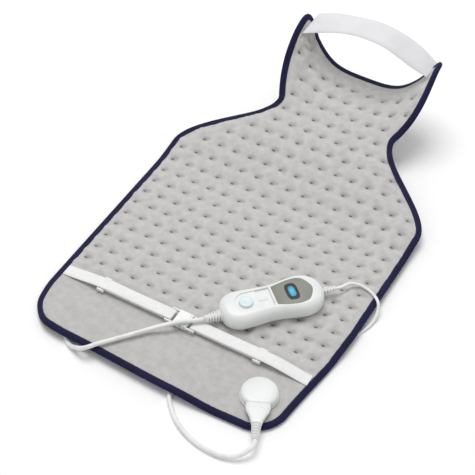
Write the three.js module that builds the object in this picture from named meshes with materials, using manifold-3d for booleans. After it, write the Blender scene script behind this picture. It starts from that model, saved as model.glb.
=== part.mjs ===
// Back and neck heating pad with a corded controller.
// Millimetres, +Z up. X runs across the pad, +Y runs from the waist to the neck.
// The origin is on the floor, under the middle of the pad.
import * as THREE from 'three';
import { mergeVertices, mergeGeometries } from 'three/addons/utils/BufferGeometryUtils.js';
import Module from 'manifold-3d';

const wasm = await Module();
wasm.setup();

// General clearances
const seatGap = 0.3;
const overrun = 5;
const roundSides = 28;

// Pad outline, laid flat
const padWidth = 420;
const padLength = 682;
const rightEdgeX = padWidth / 2;
const bottomEdgeY = -padLength / 2;

// Places on the pad, as shares of its width and length from its middle
const across = (share) => share * padWidth;
const along = (share) => share * padLength;

const padCornerRadius = 42;
const neckWidth = 202;
const wingTipWidth = 298;
const wingTipMargin = 1;
const wingBulgeShare = 0.5;
const necklineDip = 18.5;
const shoulderStartY = along(0.114);
const shoulderEndY = along(0.32);
const outlineStep = across(0.074);
const shoulderStep = along(0.025);
const necklineStep = 24;

// Pad layers, measured up from the underside
const backCoverThickness = 1.5;
const wireLayerHeight = 1.9;
const frontCoverThickness = 2.0;
const tuftDepth = 3.0;

// Quilting: a square grid of sewn tufts
const tuftPitchX = across(0.0631);
const tuftPitchY = along(0.03886);
const tuftOffsetX = across(-0.012);
const tuftOffsetY = along(-0.0103);
const tuftColumns = 7;
const tuftFirstRow = -7;
const tuftLastRow = 11;
const plainFirstRow = -12;
const plainTopRowY = along(0.446);
const gridEdgeMargin = 12.6;
const stripWidth = 9;

// Edge binding
const bindingThickness = 1.0;
const bindingLip = 8;
const bindingBulge = 1.6;

// How the pad lies: the neck is lifted and its wings curl up
const neckLift = 32;
const liftStartY = along(0.034);
const liftEndY = along(0.296);
const neckSlopeShare = 0.149;
const troughRadius = 106;
const troughFlatHalf = 25;
const troughStartY = along(0.258);
const troughEndY = along(0.475);
const wingLift = 18;
const wingLiftStartX = across(0.12);
const wingLiftEndX = across(0.32);
const wingLiftStartY = along(0.25);
const wingLiftEndY = along(0.491);

// The left bottom corner lies drawn in
const cornerPullX = 10;
const cornerPullY = 7;
const cornerPullRightX = across(-0.31);
const cornerPullTopY = along(-0.375);
const hemPullY = 8;
const hemPullLeftX = across(-0.357);
const hemPullRightX = across(0.143);
const hemPullTopY = along(-0.22);

// Soft swells over the cords that run under the pad
const leadSwell = 7.0;
const leadSwellLeftInward = 28;
const leadSwellLeftX = leadSwellLeftInward - rightEdgeX;
const leadSwellRightX = across(0.19);
const leadSwellInward = 79;
const leadSwellInnerY = bottomEdgeY + leadSwellInward;
const mainsSwell = 5.0;
const mainsSwellInward = 60;
const mainsSwellUp = 169;
const mainsSwellInnerX = rightEdgeX - mainsSwellInward;
const mainsSwellLowY = bottomEdgeY + mainsSwellUp;
const mainsSwellHighY = along(0.147);
const swellRun = 44;
const mainsSwellRun = 24;

// Colours
const colours = {
  plush: 0xc8c7c3, backing: 0xb9b8b5, navy: 0x21204b, webbing: 0xefefef, strap: 0xe0e0e4,
  patch: 0xb4b2ae, plastic: 0xe9ecea, buckle: 0xf0f0ee, olive: 0x95968b, black: 0x17191a,
  lcd: 0x2a93b5, knob: 0xe1eaee, board: 0x2f6b46, brass: 0xb9975a, steel: 0xb8bbbd,
  dark: 0x2c2c2e, red: 0xa8473a, cord: 0xeef0ee,
};

function finish(name, roughness = 0.6, metalness = 0) {
  return new THREE.MeshStandardMaterial({ color: colours[name], roughness, metalness });
}

// Solids, booleans and placing

function indexedGeometry(points, faces) {
  const geometry = new THREE.BufferGeometry();
  const values = points.flatMap((point) => [point.x, point.y, point.z]);
  geometry.setAttribute('position', new THREE.Float32BufferAttribute(values, 3));
  geometry.setIndex(turnedOutward(points, faces).flat());
  return geometry;
}

function turnedOutward(points, faces) {
  let volume = 0;
  for (const [a, b, c] of faces) {
    volume += points[a].dot(points[b].clone().cross(points[c]));
  }
  return volume < 0 ? faces.map(([a, b, c]) => [a, c, b]) : faces;
}

function toSolid(geometry) {
  const bare = geometry.clone();
  bare.deleteAttribute('normal');
  bare.deleteAttribute('uv');
  const merged = mergeVertices(bare);
  return new wasm.Manifold(new wasm.Mesh({
    numProp: 3,
    vertProperties: new Float32Array(merged.attributes.position.array),
    triVerts: new Uint32Array(merged.index.array),
  }));
}

function toGeometry(solid) {
  const mesh = solid.getMesh();
  const geometry = new THREE.BufferGeometry();
  geometry.setAttribute('position', new THREE.BufferAttribute(mesh.vertProperties, 3));
  geometry.setIndex(new THREE.BufferAttribute(mesh.triVerts, 1));
  return geometry;
}

function cut(base, ...tools) {
  return toGeometry(tools.reduce((solid, tool) => solid.subtract(toSolid(tool)), toSolid(base)));
}

function join(base, ...others) {
  return toGeometry(others.reduce((solid, other) => solid.add(toSolid(other)), toSolid(base)));
}

function loft(rings, closed = false) {
  const count = rings[0].length;
  const points = rings.flat().map((point) => point.clone());
  const faces = [];
  const spans = closed ? rings.length : rings.length - 1;
  for (let ring = 0; ring < spans; ring += 1) {
    const low = ring * count;
    const high = ((ring + 1) % rings.length) * count;
    for (let side = 0; side < count; side += 1) {
      const next = (side + 1) % count;
      faces.push([low + side, low + next, high + next], [low + side, high + next, high + side]);
    }
  }
  if (!closed) {
    addCap(points, faces, rings[0], 0, true);
    addCap(points, faces, rings.at(-1), (rings.length - 1) * count, false);
  }
  return indexedGeometry(points, faces);
}

function addCap(points, faces, ring, first, flipped) {
  const middle = new THREE.Vector3();
  ring.forEach((point) => middle.addScaledVector(point, 1 / ring.length));
  points.push(middle);
  const centre = points.length - 1;
  for (let side = 0; side < ring.length; side += 1) {
    const a = first + side;
    const b = first + ((side + 1) % ring.length);
    faces.push(flipped ? [centre, b, a] : [centre, a, b]);
  }
}

function boxBetween(low, high) {
  const size = new THREE.Vector3(...high).sub(new THREE.Vector3(...low));
  const geometry = new THREE.BoxGeometry(size.x, size.y, size.z);
  geometry.translate(low[0] + size.x / 2, low[1] + size.y / 2, low[2] + size.z / 2);
  return geometry;
}

// A cylinder standing on z = base
function post(radius, base, height, x = 0, y = 0, sides = 16) {
  const geometry = new THREE.CylinderGeometry(radius, radius, height, sides);
  geometry.rotateX(Math.PI / 2);
  geometry.translate(x, y, base + height / 2);
  return geometry;
}

// A cylinder lying along X from start to end
function rod(radius, start, end, y = 0, z = 0, sides = 12) {
  const geometry = new THREE.CylinderGeometry(radius, radius, end - start, sides);
  geometry.rotateZ(Math.PI / 2);
  geometry.translate((start + end) / 2, y, z);
  return geometry;
}

// A solid of revolution about the X axis, from [x, radius] pairs that start and end on it
function turnedAlongX(profile, sides) {
  const geometry = new THREE.LatheGeometry(profile.map(([x, r]) => new THREE.Vector2(r, x)), sides);
  geometry.rotateZ(-Math.PI / 2);
  return toGeometry(toSolid(geometry));
}

const part = new THREE.Group();

function addPart(name, geometry, material, parent = part) {
  const mesh = new THREE.Mesh(geometry, material);
  mesh.name = name;
  parent.add(mesh);
  return mesh;
}

// The pad's lying surface

const { clamp, smoothstep } = THREE.MathUtils;

// Underside of the covers, just high enough for the binding below it
const undersideZ = bindingThickness + seatGap;
const coverBottom = backCoverThickness + wireLayerHeight;
const coverTop = coverBottom + frontCoverThickness;
const crownTop = coverTop + tuftDepth;

function padRise(x, y) {
  const lift = neckLift * smoothstep(y, liftStartY, liftEndY);
  const slope = neckSlopeShare * Math.max(y - liftEndY, 0);
  const lead = leadSwell
    * smoothstep(x, leadSwellLeftX - swellRun / 2, leadSwellLeftX + swellRun / 2)
    * (1 - smoothstep(x, leadSwellRightX - swellRun / 2, leadSwellRightX + swellRun / 2))
    * (1 - smoothstep(y, leadSwellInnerY - swellRun / 2, leadSwellInnerY + swellRun / 2));
  const mains = mainsSwell
    * smoothstep(x, mainsSwellInnerX, mainsSwellInnerX + mainsSwellRun)
    * smoothstep(y, mainsSwellLowY - swellRun / 2, mainsSwellLowY + swellRun / 2)
    * (1 - smoothstep(y, mainsSwellHighY - swellRun, mainsSwellHighY + swellRun));
  const wing = wingLift
    * smoothstep(Math.abs(x), wingLiftStartX, wingLiftEndX)
    * smoothstep(y, wingLiftStartY, wingLiftEndY);
  return lift + slope + lead + mains + wing;
}

// How far a flat place of the left bottom corner is drawn in
function cornerPull(s, y) {
  const corner = (1 - smoothstep(s, -rightEdgeX, cornerPullRightX))
    * (1 - smoothstep(y, bottomEdgeY, cornerPullTopY));
  const hem = (1 - smoothstep(s, hemPullLeftX, hemPullRightX))
    * (1 - smoothstep(y, bottomEdgeY, hemPullTopY));
  return new THREE.Vector3(cornerPullX * corner, cornerPullY * corner + hemPullY * hem, 0);
}

// Turn of the pad's cross-section at a flat place (s across, y along)
function wingTurn(s, y) {
  const curl = smoothstep(y, troughStartY, troughEndY) / troughRadius;
  const run = Math.max(Math.abs(s) - troughFlatHalf, 0);
  return { curl, run, angle: curl * run * Math.sign(s) };
}

function padNormal(s, y) {
  const { angle } = wingTurn(s, y);
  return new THREE.Vector3(-Math.sin(angle), 0, Math.cos(angle));
}

// Point of the pad at a flat place, a height above its underside
function padPoint(s, y, height) {
  const { curl, run, angle } = wingTurn(s, y);
  const turn = Math.abs(angle);
  const out = turn > 0 ? Math.sin(turn) / curl : run;
  const up = turn > 0 ? (1 - Math.cos(turn)) / curl : 0;
  const flat = Math.min(Math.abs(s), troughFlatHalf);
  const base = new THREE.Vector3(Math.sign(s) * (flat + out), y, undersideZ + padRise(s, y) + up);
  return base.add(cornerPull(s, y)).addScaledVector(padNormal(s, y), height);
}

// The pad's flat outline, one half, from the middle of the bottom edge to the middle of the neckline
const coverInset = bindingThickness + seatGap + bindingBulge;
const halfWidth = padWidth / 2 - coverInset;
const bottomY = -padLength / 2 + coverInset;
const tipY = padLength / 2 - coverInset;
const neckHalf = neckWidth / 2 - coverInset;
const tipHalf = wingTipWidth / 2 - coverInset;

function sideHalfWidth(y) {
  const shoulder = smoothstep(y, shoulderStartY, shoulderEndY);
  const share = clamp((y - shoulderEndY) / (tipY - shoulderEndY), 0, 1);
  const flare = share + wingBulgeShare * share * (1 - share);
  return halfWidth + (neckHalf - halfWidth) * shoulder + (tipHalf - neckHalf) * flare;
}

function necklineY(s) {
  return tipY - necklineDip * (1 - (s / tipHalf) ** 2);
}

function evenValues(start, end, step) {
  const count = Math.max(1, Math.round(Math.abs(end - start) / step));
  return Array.from({ length: count + 1 }, (unused, index) => start + ((end - start) * index) / count);
}

// The wing's corner is cut off straight, so far back that the strips inside it keep clear
function wingTip() {
  const corner = new THREE.Vector2(tipHalf, tipY);
  const wayDown = new THREE.Vector2((1 - wingBulgeShare) * (neckHalf - tipHalf), shoulderEndY - tipY).normalize();
  const wayIn = new THREE.Vector2(-tipHalf, -2 * necklineDip).normalize();
  const angle = Math.acos(clamp(wayDown.dot(wayIn), -1, 1));
  const stripReach = stripWidth * Math.tan((Math.PI - angle) / 4) + wingTipMargin;
  const cutBack = stripReach / Math.sin(angle / 2);
  return [wayDown, wayIn].map((way) => corner.clone().addScaledVector(way, cutBack));
}

function halfOutline() {
  const points = [];
  const cornerX = halfWidth - padCornerRadius;
  const cornerY = bottomY + padCornerRadius;
  const tip = wingTip();
  evenValues(0, cornerX, outlineStep).forEach((x) => points.push([x, bottomY]));
  evenValues(-Math.PI / 2, 0, Math.PI / 12).slice(1).forEach((turn) => {
    points.push([cornerX + padCornerRadius * Math.cos(turn), cornerY + padCornerRadius * Math.sin(turn)]);
  });
  evenValues(cornerY, shoulderStartY, outlineStep).slice(1).forEach((y) => {
    points.push([sideHalfWidth(y), y]);
  });
  evenValues(shoulderStartY, tip[0].y, shoulderStep).slice(1, -1).forEach((y) => {
    points.push([sideHalfWidth(y), y]);
  });
  tip.forEach((point) => points.push([point.x, point.y]));
  evenValues(tip.at(-1).x, 0, necklineStep).slice(1).forEach((x) => {
    points.push([x, necklineY(x)]);
  });
  return points;
}

const rightHalf = halfOutline();
const outline = [
  ...rightHalf,
  ...rightHalf.slice(1, -1).reverse().map(([x, y]) => [-x, y]),
].map(([x, y]) => new THREE.Vector2(x, y));

function edgeOutward(from, to) {
  const way = to.clone().sub(from).normalize();
  return new THREE.Vector2(way.y, -way.x);
}

// Way outward at each point of the outline, which keeps a moved outline at an even distance
const outlineOutward = outline.map((point, index) => {
  const arriving = edgeOutward(outline.at(index - 1), point);
  const leaving = edgeOutward(point, outline[(index + 1) % outline.length]);
  const spread = 1 + arriving.dot(leaving);
  return arriving.add(leaving).divideScalar(spread);
});

function outlineMoved(distance) {
  return outline.map((point, index) => point.clone().addScaledVector(outlineOutward[index], distance));
}

function distanceToOutline(x, y) {
  const place = new THREE.Vector2(x, y);
  let nearest = Infinity;
  outline.forEach((start, index) => {
    const span = outline[(index + 1) % outline.length].clone().sub(start);
    const share = clamp(place.clone().sub(start).dot(span) / span.lengthSq(), 0, 1);
    nearest = Math.min(nearest, place.distanceTo(start.clone().addScaledVector(span, share)));
  });
  return nearest;
}

function insideOutline(x, y) {
  let inside = false;
  outline.forEach((a, index) => {
    const b = outline[(index + 1) % outline.length];
    if ((a.y > y) !== (b.y > y) && x < ((b.x - a.x) * (y - a.y)) / (b.y - a.y) + a.x) inside = !inside;
  });
  return inside;
}

// The covers' grid: cells between tufts, with plain rows below and above the quilting

const gridRows = [];
for (let row = plainFirstRow; row <= tuftLastRow; row += 1) gridRows.push(tuftOffsetY + row * tuftPitchY);
gridRows.push(plainTopRowY);
const gridColumns = evenValues(-tuftColumns, tuftColumns, 1).map((column) => tuftOffsetX + column * tuftPitchX);

function fits(column, row) {
  const x = gridColumns[column];
  const y = gridRows[row];
  return insideOutline(x, y) && distanceToOutline(x, y) > gridEdgeMargin;
}

function cellCorners([column, row]) {
  return [[column, row], [column + 1, row], [column + 1, row + 1], [column, row + 1]];
}

const fittingCells = [];
for (let row = 0; row < gridRows.length - 1; row += 1) {
  for (let column = 0; column < gridColumns.length - 1; column += 1) {
    if (cellCorners([column, row]).every(([c, r]) => fits(c, r))) fittingCells.push([column, row]);
  }
}

// Whether a cell meets one nearer the middle only at a corner; it is left to the border then
function meetsAtCorner([column, row]) {
  const has = (c, r) => fittingCells.some(([otherColumn, otherRow]) => otherColumn === c && otherRow === r);
  const inward = column < tuftColumns ? 1 : -1;
  return [-1, 1].some((up) => (
    has(column + inward, row + up) && !has(column + inward, row) && !has(column, row + up)));
}

const gridCells = fittingCells.filter((cell) => !meetsAtCorner(cell)).map(cellCorners);

// The grid's own boundary, as grid corners in order
function gridBoundary() {
  const edges = new Map();
  const key = ([c, r]) => `${c},${r}`;
  for (const corners of gridCells) {
    corners.forEach((from, side) => {
      const to = corners[(side + 1) % corners.length];
      const reverse = `${key(to)}>${key(from)}`;
      if (edges.has(reverse)) edges.delete(reverse);
      else edges.set(`${key(from)}>${key(to)}`, [from, to]);
    });
  }
  const next = new Map([...edges.values()].map(([from, to]) => [key(from), to]));
  const start = [...edges.values()][0][0];
  const loop = [start];
  let place = next.get(key(start));
  while (key(place) !== key(start)) {
    loop.push(place);
    place = next.get(key(place));
  }
  if (loop.length !== edges.size) throw new Error('the quilted grid is not one piece');
  return loop;
}

const boundary = gridBoundary();

function isQuilted(corners) {
  const firstQuiltedRow = tuftFirstRow - plainFirstRow;
  const lastQuiltedRow = tuftLastRow - plainFirstRow;
  return corners.every(([, row]) => row >= firstQuiltedRow && row <= lastQuiltedRow);
}

// Straight runs are bowed a hair for the triangulation, so that it keeps all their points
const runBow = 2e-8;
const swapMargin = 0.01;

function bowed(point, amount) {
  return point.clone().multiplyScalar(1 + amount * point.lengthSq());
}

const stripRing = outlineMoved(-stripWidth);
const boundaryPoints = boundary.map(([c, r]) => new THREE.Vector2(gridColumns[c], gridRows[r]));
const borderPoints = [...stripRing, ...boundaryPoints];

function turnOf(a, b, c) {
  return b.clone().sub(a).cross(c.clone().sub(a));
}

// Swaps a shared edge for the shorter one across it, until no swap is left
function withShortEdges(triangles, points) {
  const list = [...triangles];
  for (let found = true; found;) {
    found = false;
    const owner = new Map();
    list.forEach((triangle, index) => triangle.forEach((from, side) => {
      owner.set(`${from},${triangle[(side + 1) % 3]}`, index);
    }));
    for (const [edge, first] of owner) {
      const [a, b] = edge.split(',').map(Number);
      const second = owner.get(`${b},${a}`);
      if (second === undefined) continue;
      const c = list[first].find((corner) => corner !== a && corner !== b);
      const d = list[second].find((corner) => corner !== a && corner !== b);
      const gain = points[a].distanceTo(points[b]) - points[c].distanceTo(points[d]);
      const leastTurn = Math.min(
        turnOf(points[c], points[a], points[d]),
        turnOf(points[d], points[b], points[c]),
      );
      if (gain > swapMargin && leastTurn > swapMargin) {
        list[first] = [c, a, d];
        list[second] = [d, b, c];
        found = true;
        break;
      }
    }
  }
  return list;
}

// Triangles between the strip along the edge and the grid
function borderTriangles() {
  const bowedContour = stripRing.map((point) => bowed(point, runBow));
  const bowedHole = boundaryPoints.map((point) => bowed(point, -runBow));
  const all = [...bowedContour, ...bowedHole];
  const triangles = THREE.ShapeUtils.triangulateShape(bowedContour, [bowedHole])
    .map(([i, j, k]) => (turnOf(all[i], all[j], all[k]) > 0 ? [i, j, k] : [i, k, j]));
  return withShortEdges(triangles, borderPoints);
}

const border = borderTriangles();

// One cover: a sheet between two heights, with raised cells on top where it is quilted
function coverSheet(lowHeight, highHeight, crownHeight) {
  const points = [];
  const faces = [];

  function addSheet(height, crown, upward) {
    const place = (x, y, extra = 0) => points.push(padPoint(x, y, height + extra)) - 1;
    const push = (a, b, c) => faces.push(upward ? [a, b, c] : [a, c, b]);
    const edge = outline.map((point) => place(point.x, point.y));
    const rim = stripRing.map((point) => place(point.x, point.y));
    edge.forEach((a, index) => {
      const next = (index + 1) % edge.length;
      if (upward) {
        push(a, edge[next], rim[next]);
        push(a, rim[next], rim[index]);
      } else {
        push(a, edge[next], rim[index]);
        push(edge[next], rim[next], rim[index]);
      }
    });
    const corner = new Map();
    const at = ([c, r]) => {
      const name = `${c},${r}`;
      if (!corner.has(name)) corner.set(name, place(gridColumns[c], gridRows[r]));
      return corner.get(name);
    };
    for (const corners of gridCells) {
      const [a, b, c, d] = corners.map(at);
      if (crown > 0 && isQuilted(corners)) {
        const x = (gridColumns[corners[0][0]] + gridColumns[corners[1][0]]) / 2;
        const y = (gridRows[corners[0][1]] + gridRows[corners[2][1]]) / 2;
        const top = place(x, y, crown);
        push(a, b, top);
        push(b, c, top);
        push(c, d, top);
        push(d, a, top);
      } else {
        push(a, b, c);
        push(a, c, d);
      }
    }
    const names = [...rim, ...boundary.map(at)];
    border.forEach(([i, j, k]) => push(names[i], names[j], names[k]));
    return edge;
  }

  const lowEdge = addSheet(lowHeight, 0, false);
  const highEdge = addSheet(highHeight, crownHeight, true);
  lowEdge.forEach((a, index) => {
    const next = (index + 1) % lowEdge.length;
    faces.push([a, lowEdge[next], highEdge[next]], [a, highEdge[next], highEdge[index]]);
  });
  return indexedGeometry(points, faces);
}

// Edge binding: a folded tape, swept round the outline
function bindingGeometry() {
  const top = coverTop + seatGap;
  const bottom = -seatGap;
  const outerTop = top + bindingThickness;
  const outerBottom = bottom - bindingThickness;
  const back = seatGap + bindingThickness;
  const section = [
    [-bindingLip, outerTop], [back - bindingBulge / 2, outerTop],
    [back + bindingBulge, (2 * outerTop + outerBottom) / 3], [back + bindingBulge, (outerTop + 2 * outerBottom) / 3],
    [back - bindingBulge / 2, outerBottom], [-bindingLip, outerBottom],
    [-bindingLip, bottom], [seatGap, bottom], [seatGap, top], [-bindingLip, top],
  ];
  const rings = outline.map((point, index) => section.map(([out, height]) => {
    const place = point.clone().addScaledVector(outlineOutward[index], out);
    return padPoint(place.x, place.y, height);
  }));
  return loft(rings, true);
}

// Heating wire: rows along the tuft columns, in the layer between the covers
const wireDiameter = 1.1;
const wireColumnPairs = [[6, 4], [3, 1], [-1, -3], [-4, -6]];
const wireFirstRow = -8;
const wireReturnRow = -9;
const wireEndGap = 25;

const columnX = (column) => tuftOffsetX + column * tuftPitchX;
const rowY = (row) => tuftOffsetY + row * tuftPitchY;

// The highest row at which the grid holds both columns and all between them
function sharedTopRow([first, second]) {
  const low = Math.min(first, second) + tuftColumns;
  const high = Math.max(first, second) + tuftColumns;
  let row = tuftLastRow - plainFirstRow;
  while (!evenValues(low, high, 1).every((column) => fits(Math.round(column), row))) row -= 1;
  return row + plainFirstRow;
}

function isLevel(x, y) {
  return [y - tuftPitchY, y, y + tuftPitchY].every((place) => padRise(x, place) === 0);
}

function wireRun(column, fromRow, toRow) {
  const rows = evenValues(fromRow, toRow, 1).map(Math.round);
  return rows
    .filter((row) => row === fromRow || row === toRow || !isLevel(columnX(column), rowY(row)))
    .map((row) => [columnX(column), rowY(row)]);
}

function heatingWirePlaces(socketX, socketY) {
  const places = [[columnX(wireColumnPairs[0][0]), socketY + wireEndGap]];
  for (const [upward, downward] of wireColumnPairs) {
    const topRow = sharedTopRow([upward, downward]);
    const crossing = evenValues(upward, downward, 1).map(Math.round).slice(1, -1);
    places.push(...wireRun(upward, wireFirstRow, topRow));
    places.push(...crossing.map((column) => [columnX(column), rowY(topRow)]));
    places.push(...wireRun(downward, topRow, wireFirstRow));
  }
  places.push([columnX(wireColumnPairs.at(-1)[1]), rowY(wireReturnRow)]);
  places.push([socketX - wireEndGap / 2, rowY(wireReturnRow)]);
  places.push([socketX - wireEndGap / 2, socketY + wireEndGap]);
  return places;
}

// A thin square wire through places on the pad, at a height above its underside
function padWire(places, height, diameter) {
  const corners = [[-1, -1], [1, -1], [1, 1], [-1, 1]];
  const rings = places.map(([x, y], index) => {
    const before = places[Math.max(index - 1, 0)];
    const after = places[Math.min(index + 1, places.length - 1)];
    const arriving = new THREE.Vector2(x - before[0], y - before[1]).normalize();
    const leaving = new THREE.Vector2(after[0] - x, after[1] - y).normalize();
    const along = arriving.clone().add(leaving).normalize();
    const stretch = 1 / Math.max(along.dot(arriving), along.dot(leaving));
    const side = new THREE.Vector2(along.y, -along.x).multiplyScalar((stretch * diameter) / 2);
    return corners.map(([across, up]) => (
      padPoint(x + across * side.x, y + across * side.y, height + (up * diameter) / 2)));
  });
  return loft(rings);
}

// A flat band in the XZ plane, with its width along Y; its far edge may stand higher
function ribbon(path, middleY, width, thickness, rise = 0) {
  const rings = path.map((point, index) => {
    const arriving = point.clone().sub(path[Math.max(index - 1, 0)]).normalize();
    const leaving = path[Math.min(index + 1, path.length - 1)].clone().sub(point).normalize();
    const along = arriving.clone().add(leaving).normalize();
    const stretch = 1 / Math.max(along.dot(arriving), along.dot(leaving));
    const out = new THREE.Vector2(-along.y, along.x).multiplyScalar((stretch * thickness) / 2);
    return [[-1, -1], [1, -1], [1, 1], [-1, 1]].map(([end, face]) => new THREE.Vector3(
      point.x + face * out.x,
      middleY + (end * width) / 2,
      point.y + face * out.y + (end * rise) / 2,
    ));
  });
  return loft(rings);
}

// Thermal cut-out beside the wire
const cutoutColumn = 1;
const cutoutRow = -6;
const cutoutWidth = 8;
const cutoutLength = 14;
const cutoutThickness = 1.3;

function cutoutGeometry() {
  const x = columnX(cutoutColumn) + wireDiameter / 2 + seatGap;
  const y = rowY(cutoutRow);
  const low = undersideZ + backCoverThickness + seatGap;
  return boxBetween(
    [x, y - cutoutLength / 2, low],
    [x + cutoutWidth, y + cutoutLength / 2, low + cutoutThickness],
  );
}

// Neck strap and the patch that its left end is sewn to
const neckStrapWidth = 40;
const neckStrapThickness = 1.4;
const neckStrapInward = 11;
const neckStrapY = -bottomEdgeY - neckStrapInward;
const neckStrapFoldS = 120;
const neckStrapTabEndS = 94;
const neckStrapRise = 27;
const wingFacetRoom = 1.1;
const patchThickness = 0.9;
const patchInnerS = 88;
const patchOuterS = 122.5;
const patchDown = 14;
const patchWidth = 18;
const patchHighY = neckStrapY - patchDown;
const patchLowY = patchHighY - patchWidth;
const patchSteps = 4;

const patchLow = coverTop + wingFacetRoom + seatGap;
const patchTop = patchLow + patchThickness;

function neckPatchGeometry() {
  const rings = evenValues(-patchOuterS, -patchInnerS, (patchOuterS - patchInnerS) / patchSteps).map((s) => [
    padPoint(s, patchLowY, patchLow), padPoint(s, patchHighY, patchLow),
    padPoint(s, patchHighY, patchTop), padPoint(s, patchLowY, patchTop),
  ]);
  return loft(rings);
}

function neckStrapGeometry() {
  const height = patchTop + seatGap + neckStrapThickness / 2;
  const tab = evenValues(neckStrapTabEndS, neckStrapFoldS, (neckStrapFoldS - neckStrapTabEndS) / 3)
    .map((s) => padPoint(s, neckStrapY, height)).map((point) => new THREE.Vector2(point.x, point.z));
  const fold = tab.at(-1);
  const radius = (fold.x ** 2 + neckStrapRise ** 2) / (2 * neckStrapRise);
  const halfTurn = Math.asin(fold.x / radius);
  const arch = evenValues(halfTurn, -halfTurn, halfTurn / 9).slice(1, -1).map((turn) => new THREE.Vector2(
    radius * Math.sin(turn), fold.y + neckStrapRise - radius * (1 - Math.cos(turn))));
  const mirrored = tab.map((point) => new THREE.Vector2(-point.x, point.y)).reverse();
  const rise = neckSlopeShare * neckStrapWidth;
  return ribbon([...tab, ...arch, ...mirrored], neckStrapY, neckStrapWidth, neckStrapThickness, rise);
}

// Waist strap: two bands, each doubled between its slider and its buckle half
const webbingWidth = 20;
const webbingThickness = 1.1;
const waistUp = 114;
const waistY = bottomEdgeY + waistUp;
const waistClearance = 4.6;
const plyGap = 0.4;
const sliderBarThickness = 1.4;
const sliderBarWidth = 2.4;
const sliderLength = 11;
const sliderRailWidth = 2;
const leftSliderInward = 75;
const rightSliderInward = 96;
const leftSliderX = leftSliderInward - rightEdgeX;
const rightSliderX = rightEdgeX - rightSliderInward;
const strapRampRun = 42;
const strapEndRun = 9;
const buckleCentreX = -6.5;
const buckleLength = 47;
const buckleWidth = 25;
const buckleThickness = 7;
const buckleRailWidth = 2;
const buckleBarRadius = 0.75;
const clipTravel = 8;
const foldSides = 6;

const coverTopZ = undersideZ + coverTop;
const lowerPlyZ = coverTopZ + waistClearance + webbingThickness / 2;
const plySpacing = webbingThickness + 2 * plyGap + sliderBarThickness;
const upperPlyZ = lowerPlyZ + plySpacing;
const plyMiddleZ = (lowerPlyZ + upperPlyZ) / 2;
const strapEndX = halfWidth - bindingLip - seatGap;

// side is -1 for the left band and 1 for the right one
function waistStrapGeometry(side, sliderX, barX) {
  const flatZ = coverTopZ + seatGap + webbingThickness / 2;
  const path = [
    [side * strapEndX, flatZ],
    [side * (strapEndX - strapEndRun), flatZ],
    [side * (strapEndX - strapEndRun - strapRampRun), upperPlyZ],
  ];
  evenValues(Math.PI / 2, -Math.PI / 2, Math.PI / foldSides).forEach((turn) => {
    path.push([barX - (side * Math.cos(turn) * plySpacing) / 2, plyMiddleZ + (Math.sin(turn) * plySpacing) / 2]);
  });
  path.push([sliderX + (side * sliderLength) / 2, lowerPlyZ]);
  return ribbon(path.map(([x, z]) => new THREE.Vector2(x, z)), waistY, webbingWidth, webbingThickness);
}

function crossBar(x, z, barWidth, barThickness, halfSpan) {
  return boxBetween(
    [x - barWidth / 2, waistY - halfSpan, z - barThickness / 2],
    [x + barWidth / 2, waistY + halfSpan, z + barThickness / 2],
  );
}

function sliderGeometry(x) {
  const innerHalf = webbingWidth / 2 + plyGap;
  const outerHalf = innerHalf + sliderRailWidth;
  const lowBarZ = lowerPlyZ - webbingThickness / 2 - plyGap - sliderBarThickness / 2;
  const lowBarX = sliderLength / 2 - sliderRailWidth / 2;
  const rails = [-1, 1].map((side) => boxBetween(
    [x - sliderLength / 2, waistY + Math.min(side * innerHalf, side * outerHalf), lowBarZ - sliderBarThickness / 2],
    [x + sliderLength / 2, waistY + Math.max(side * innerHalf, side * outerHalf), plyMiddleZ + sliderBarThickness / 2],
  ));
  return join(
    crossBar(x, plyMiddleZ, sliderBarWidth, sliderBarThickness, outerHalf),
    crossBar(x - lowBarX, lowBarZ, sliderRailWidth, sliderBarThickness, outerHalf),
    crossBar(x + lowBarX, lowBarZ, sliderRailWidth, sliderBarThickness, outerHalf),
    ...rails,
  );
}

// Buckle: each half has a strap bar in a window; the clip's three prongs go into the socket
const buckleWindow = 10.5;
const buckleEndWall = 2.6;
const prongLength = 8.6;
const prongHalfHeight = 1.5;
const prongGap = 0.35;
const socketSideWall = 2.4;
const releaseSlotLength = 5;
const releaseSlotHeight = 4;

const leftBarX = buckleCentreX - buckleLength / 2 + buckleEndWall / 2;
const rightBarX = buckleCentreX + buckleLength / 2 - buckleEndWall / 2;
const clipWallX = rightBarX - buckleEndWall / 2 - buckleWindow;
const buckleJointX = clipWallX - buckleEndWall;

function strapBar(x) {
  const bar = new THREE.CylinderGeometry(buckleBarRadius, buckleBarRadius, buckleWidth - buckleRailWidth, 10);
  bar.translate(x, waistY, plyMiddleZ);
  return bar;
}

function buckleRails(fromX, toX) {
  return [-1, 1].map((side) => boxBetween(
    [fromX, waistY + (side * buckleWidth) / 2 - (side > 0 ? buckleRailWidth : 0), plyMiddleZ - buckleThickness / 4],
    [toX, waistY + (side * buckleWidth) / 2 + (side < 0 ? buckleRailWidth : 0), plyMiddleZ + buckleThickness / 4],
  ));
}

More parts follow.
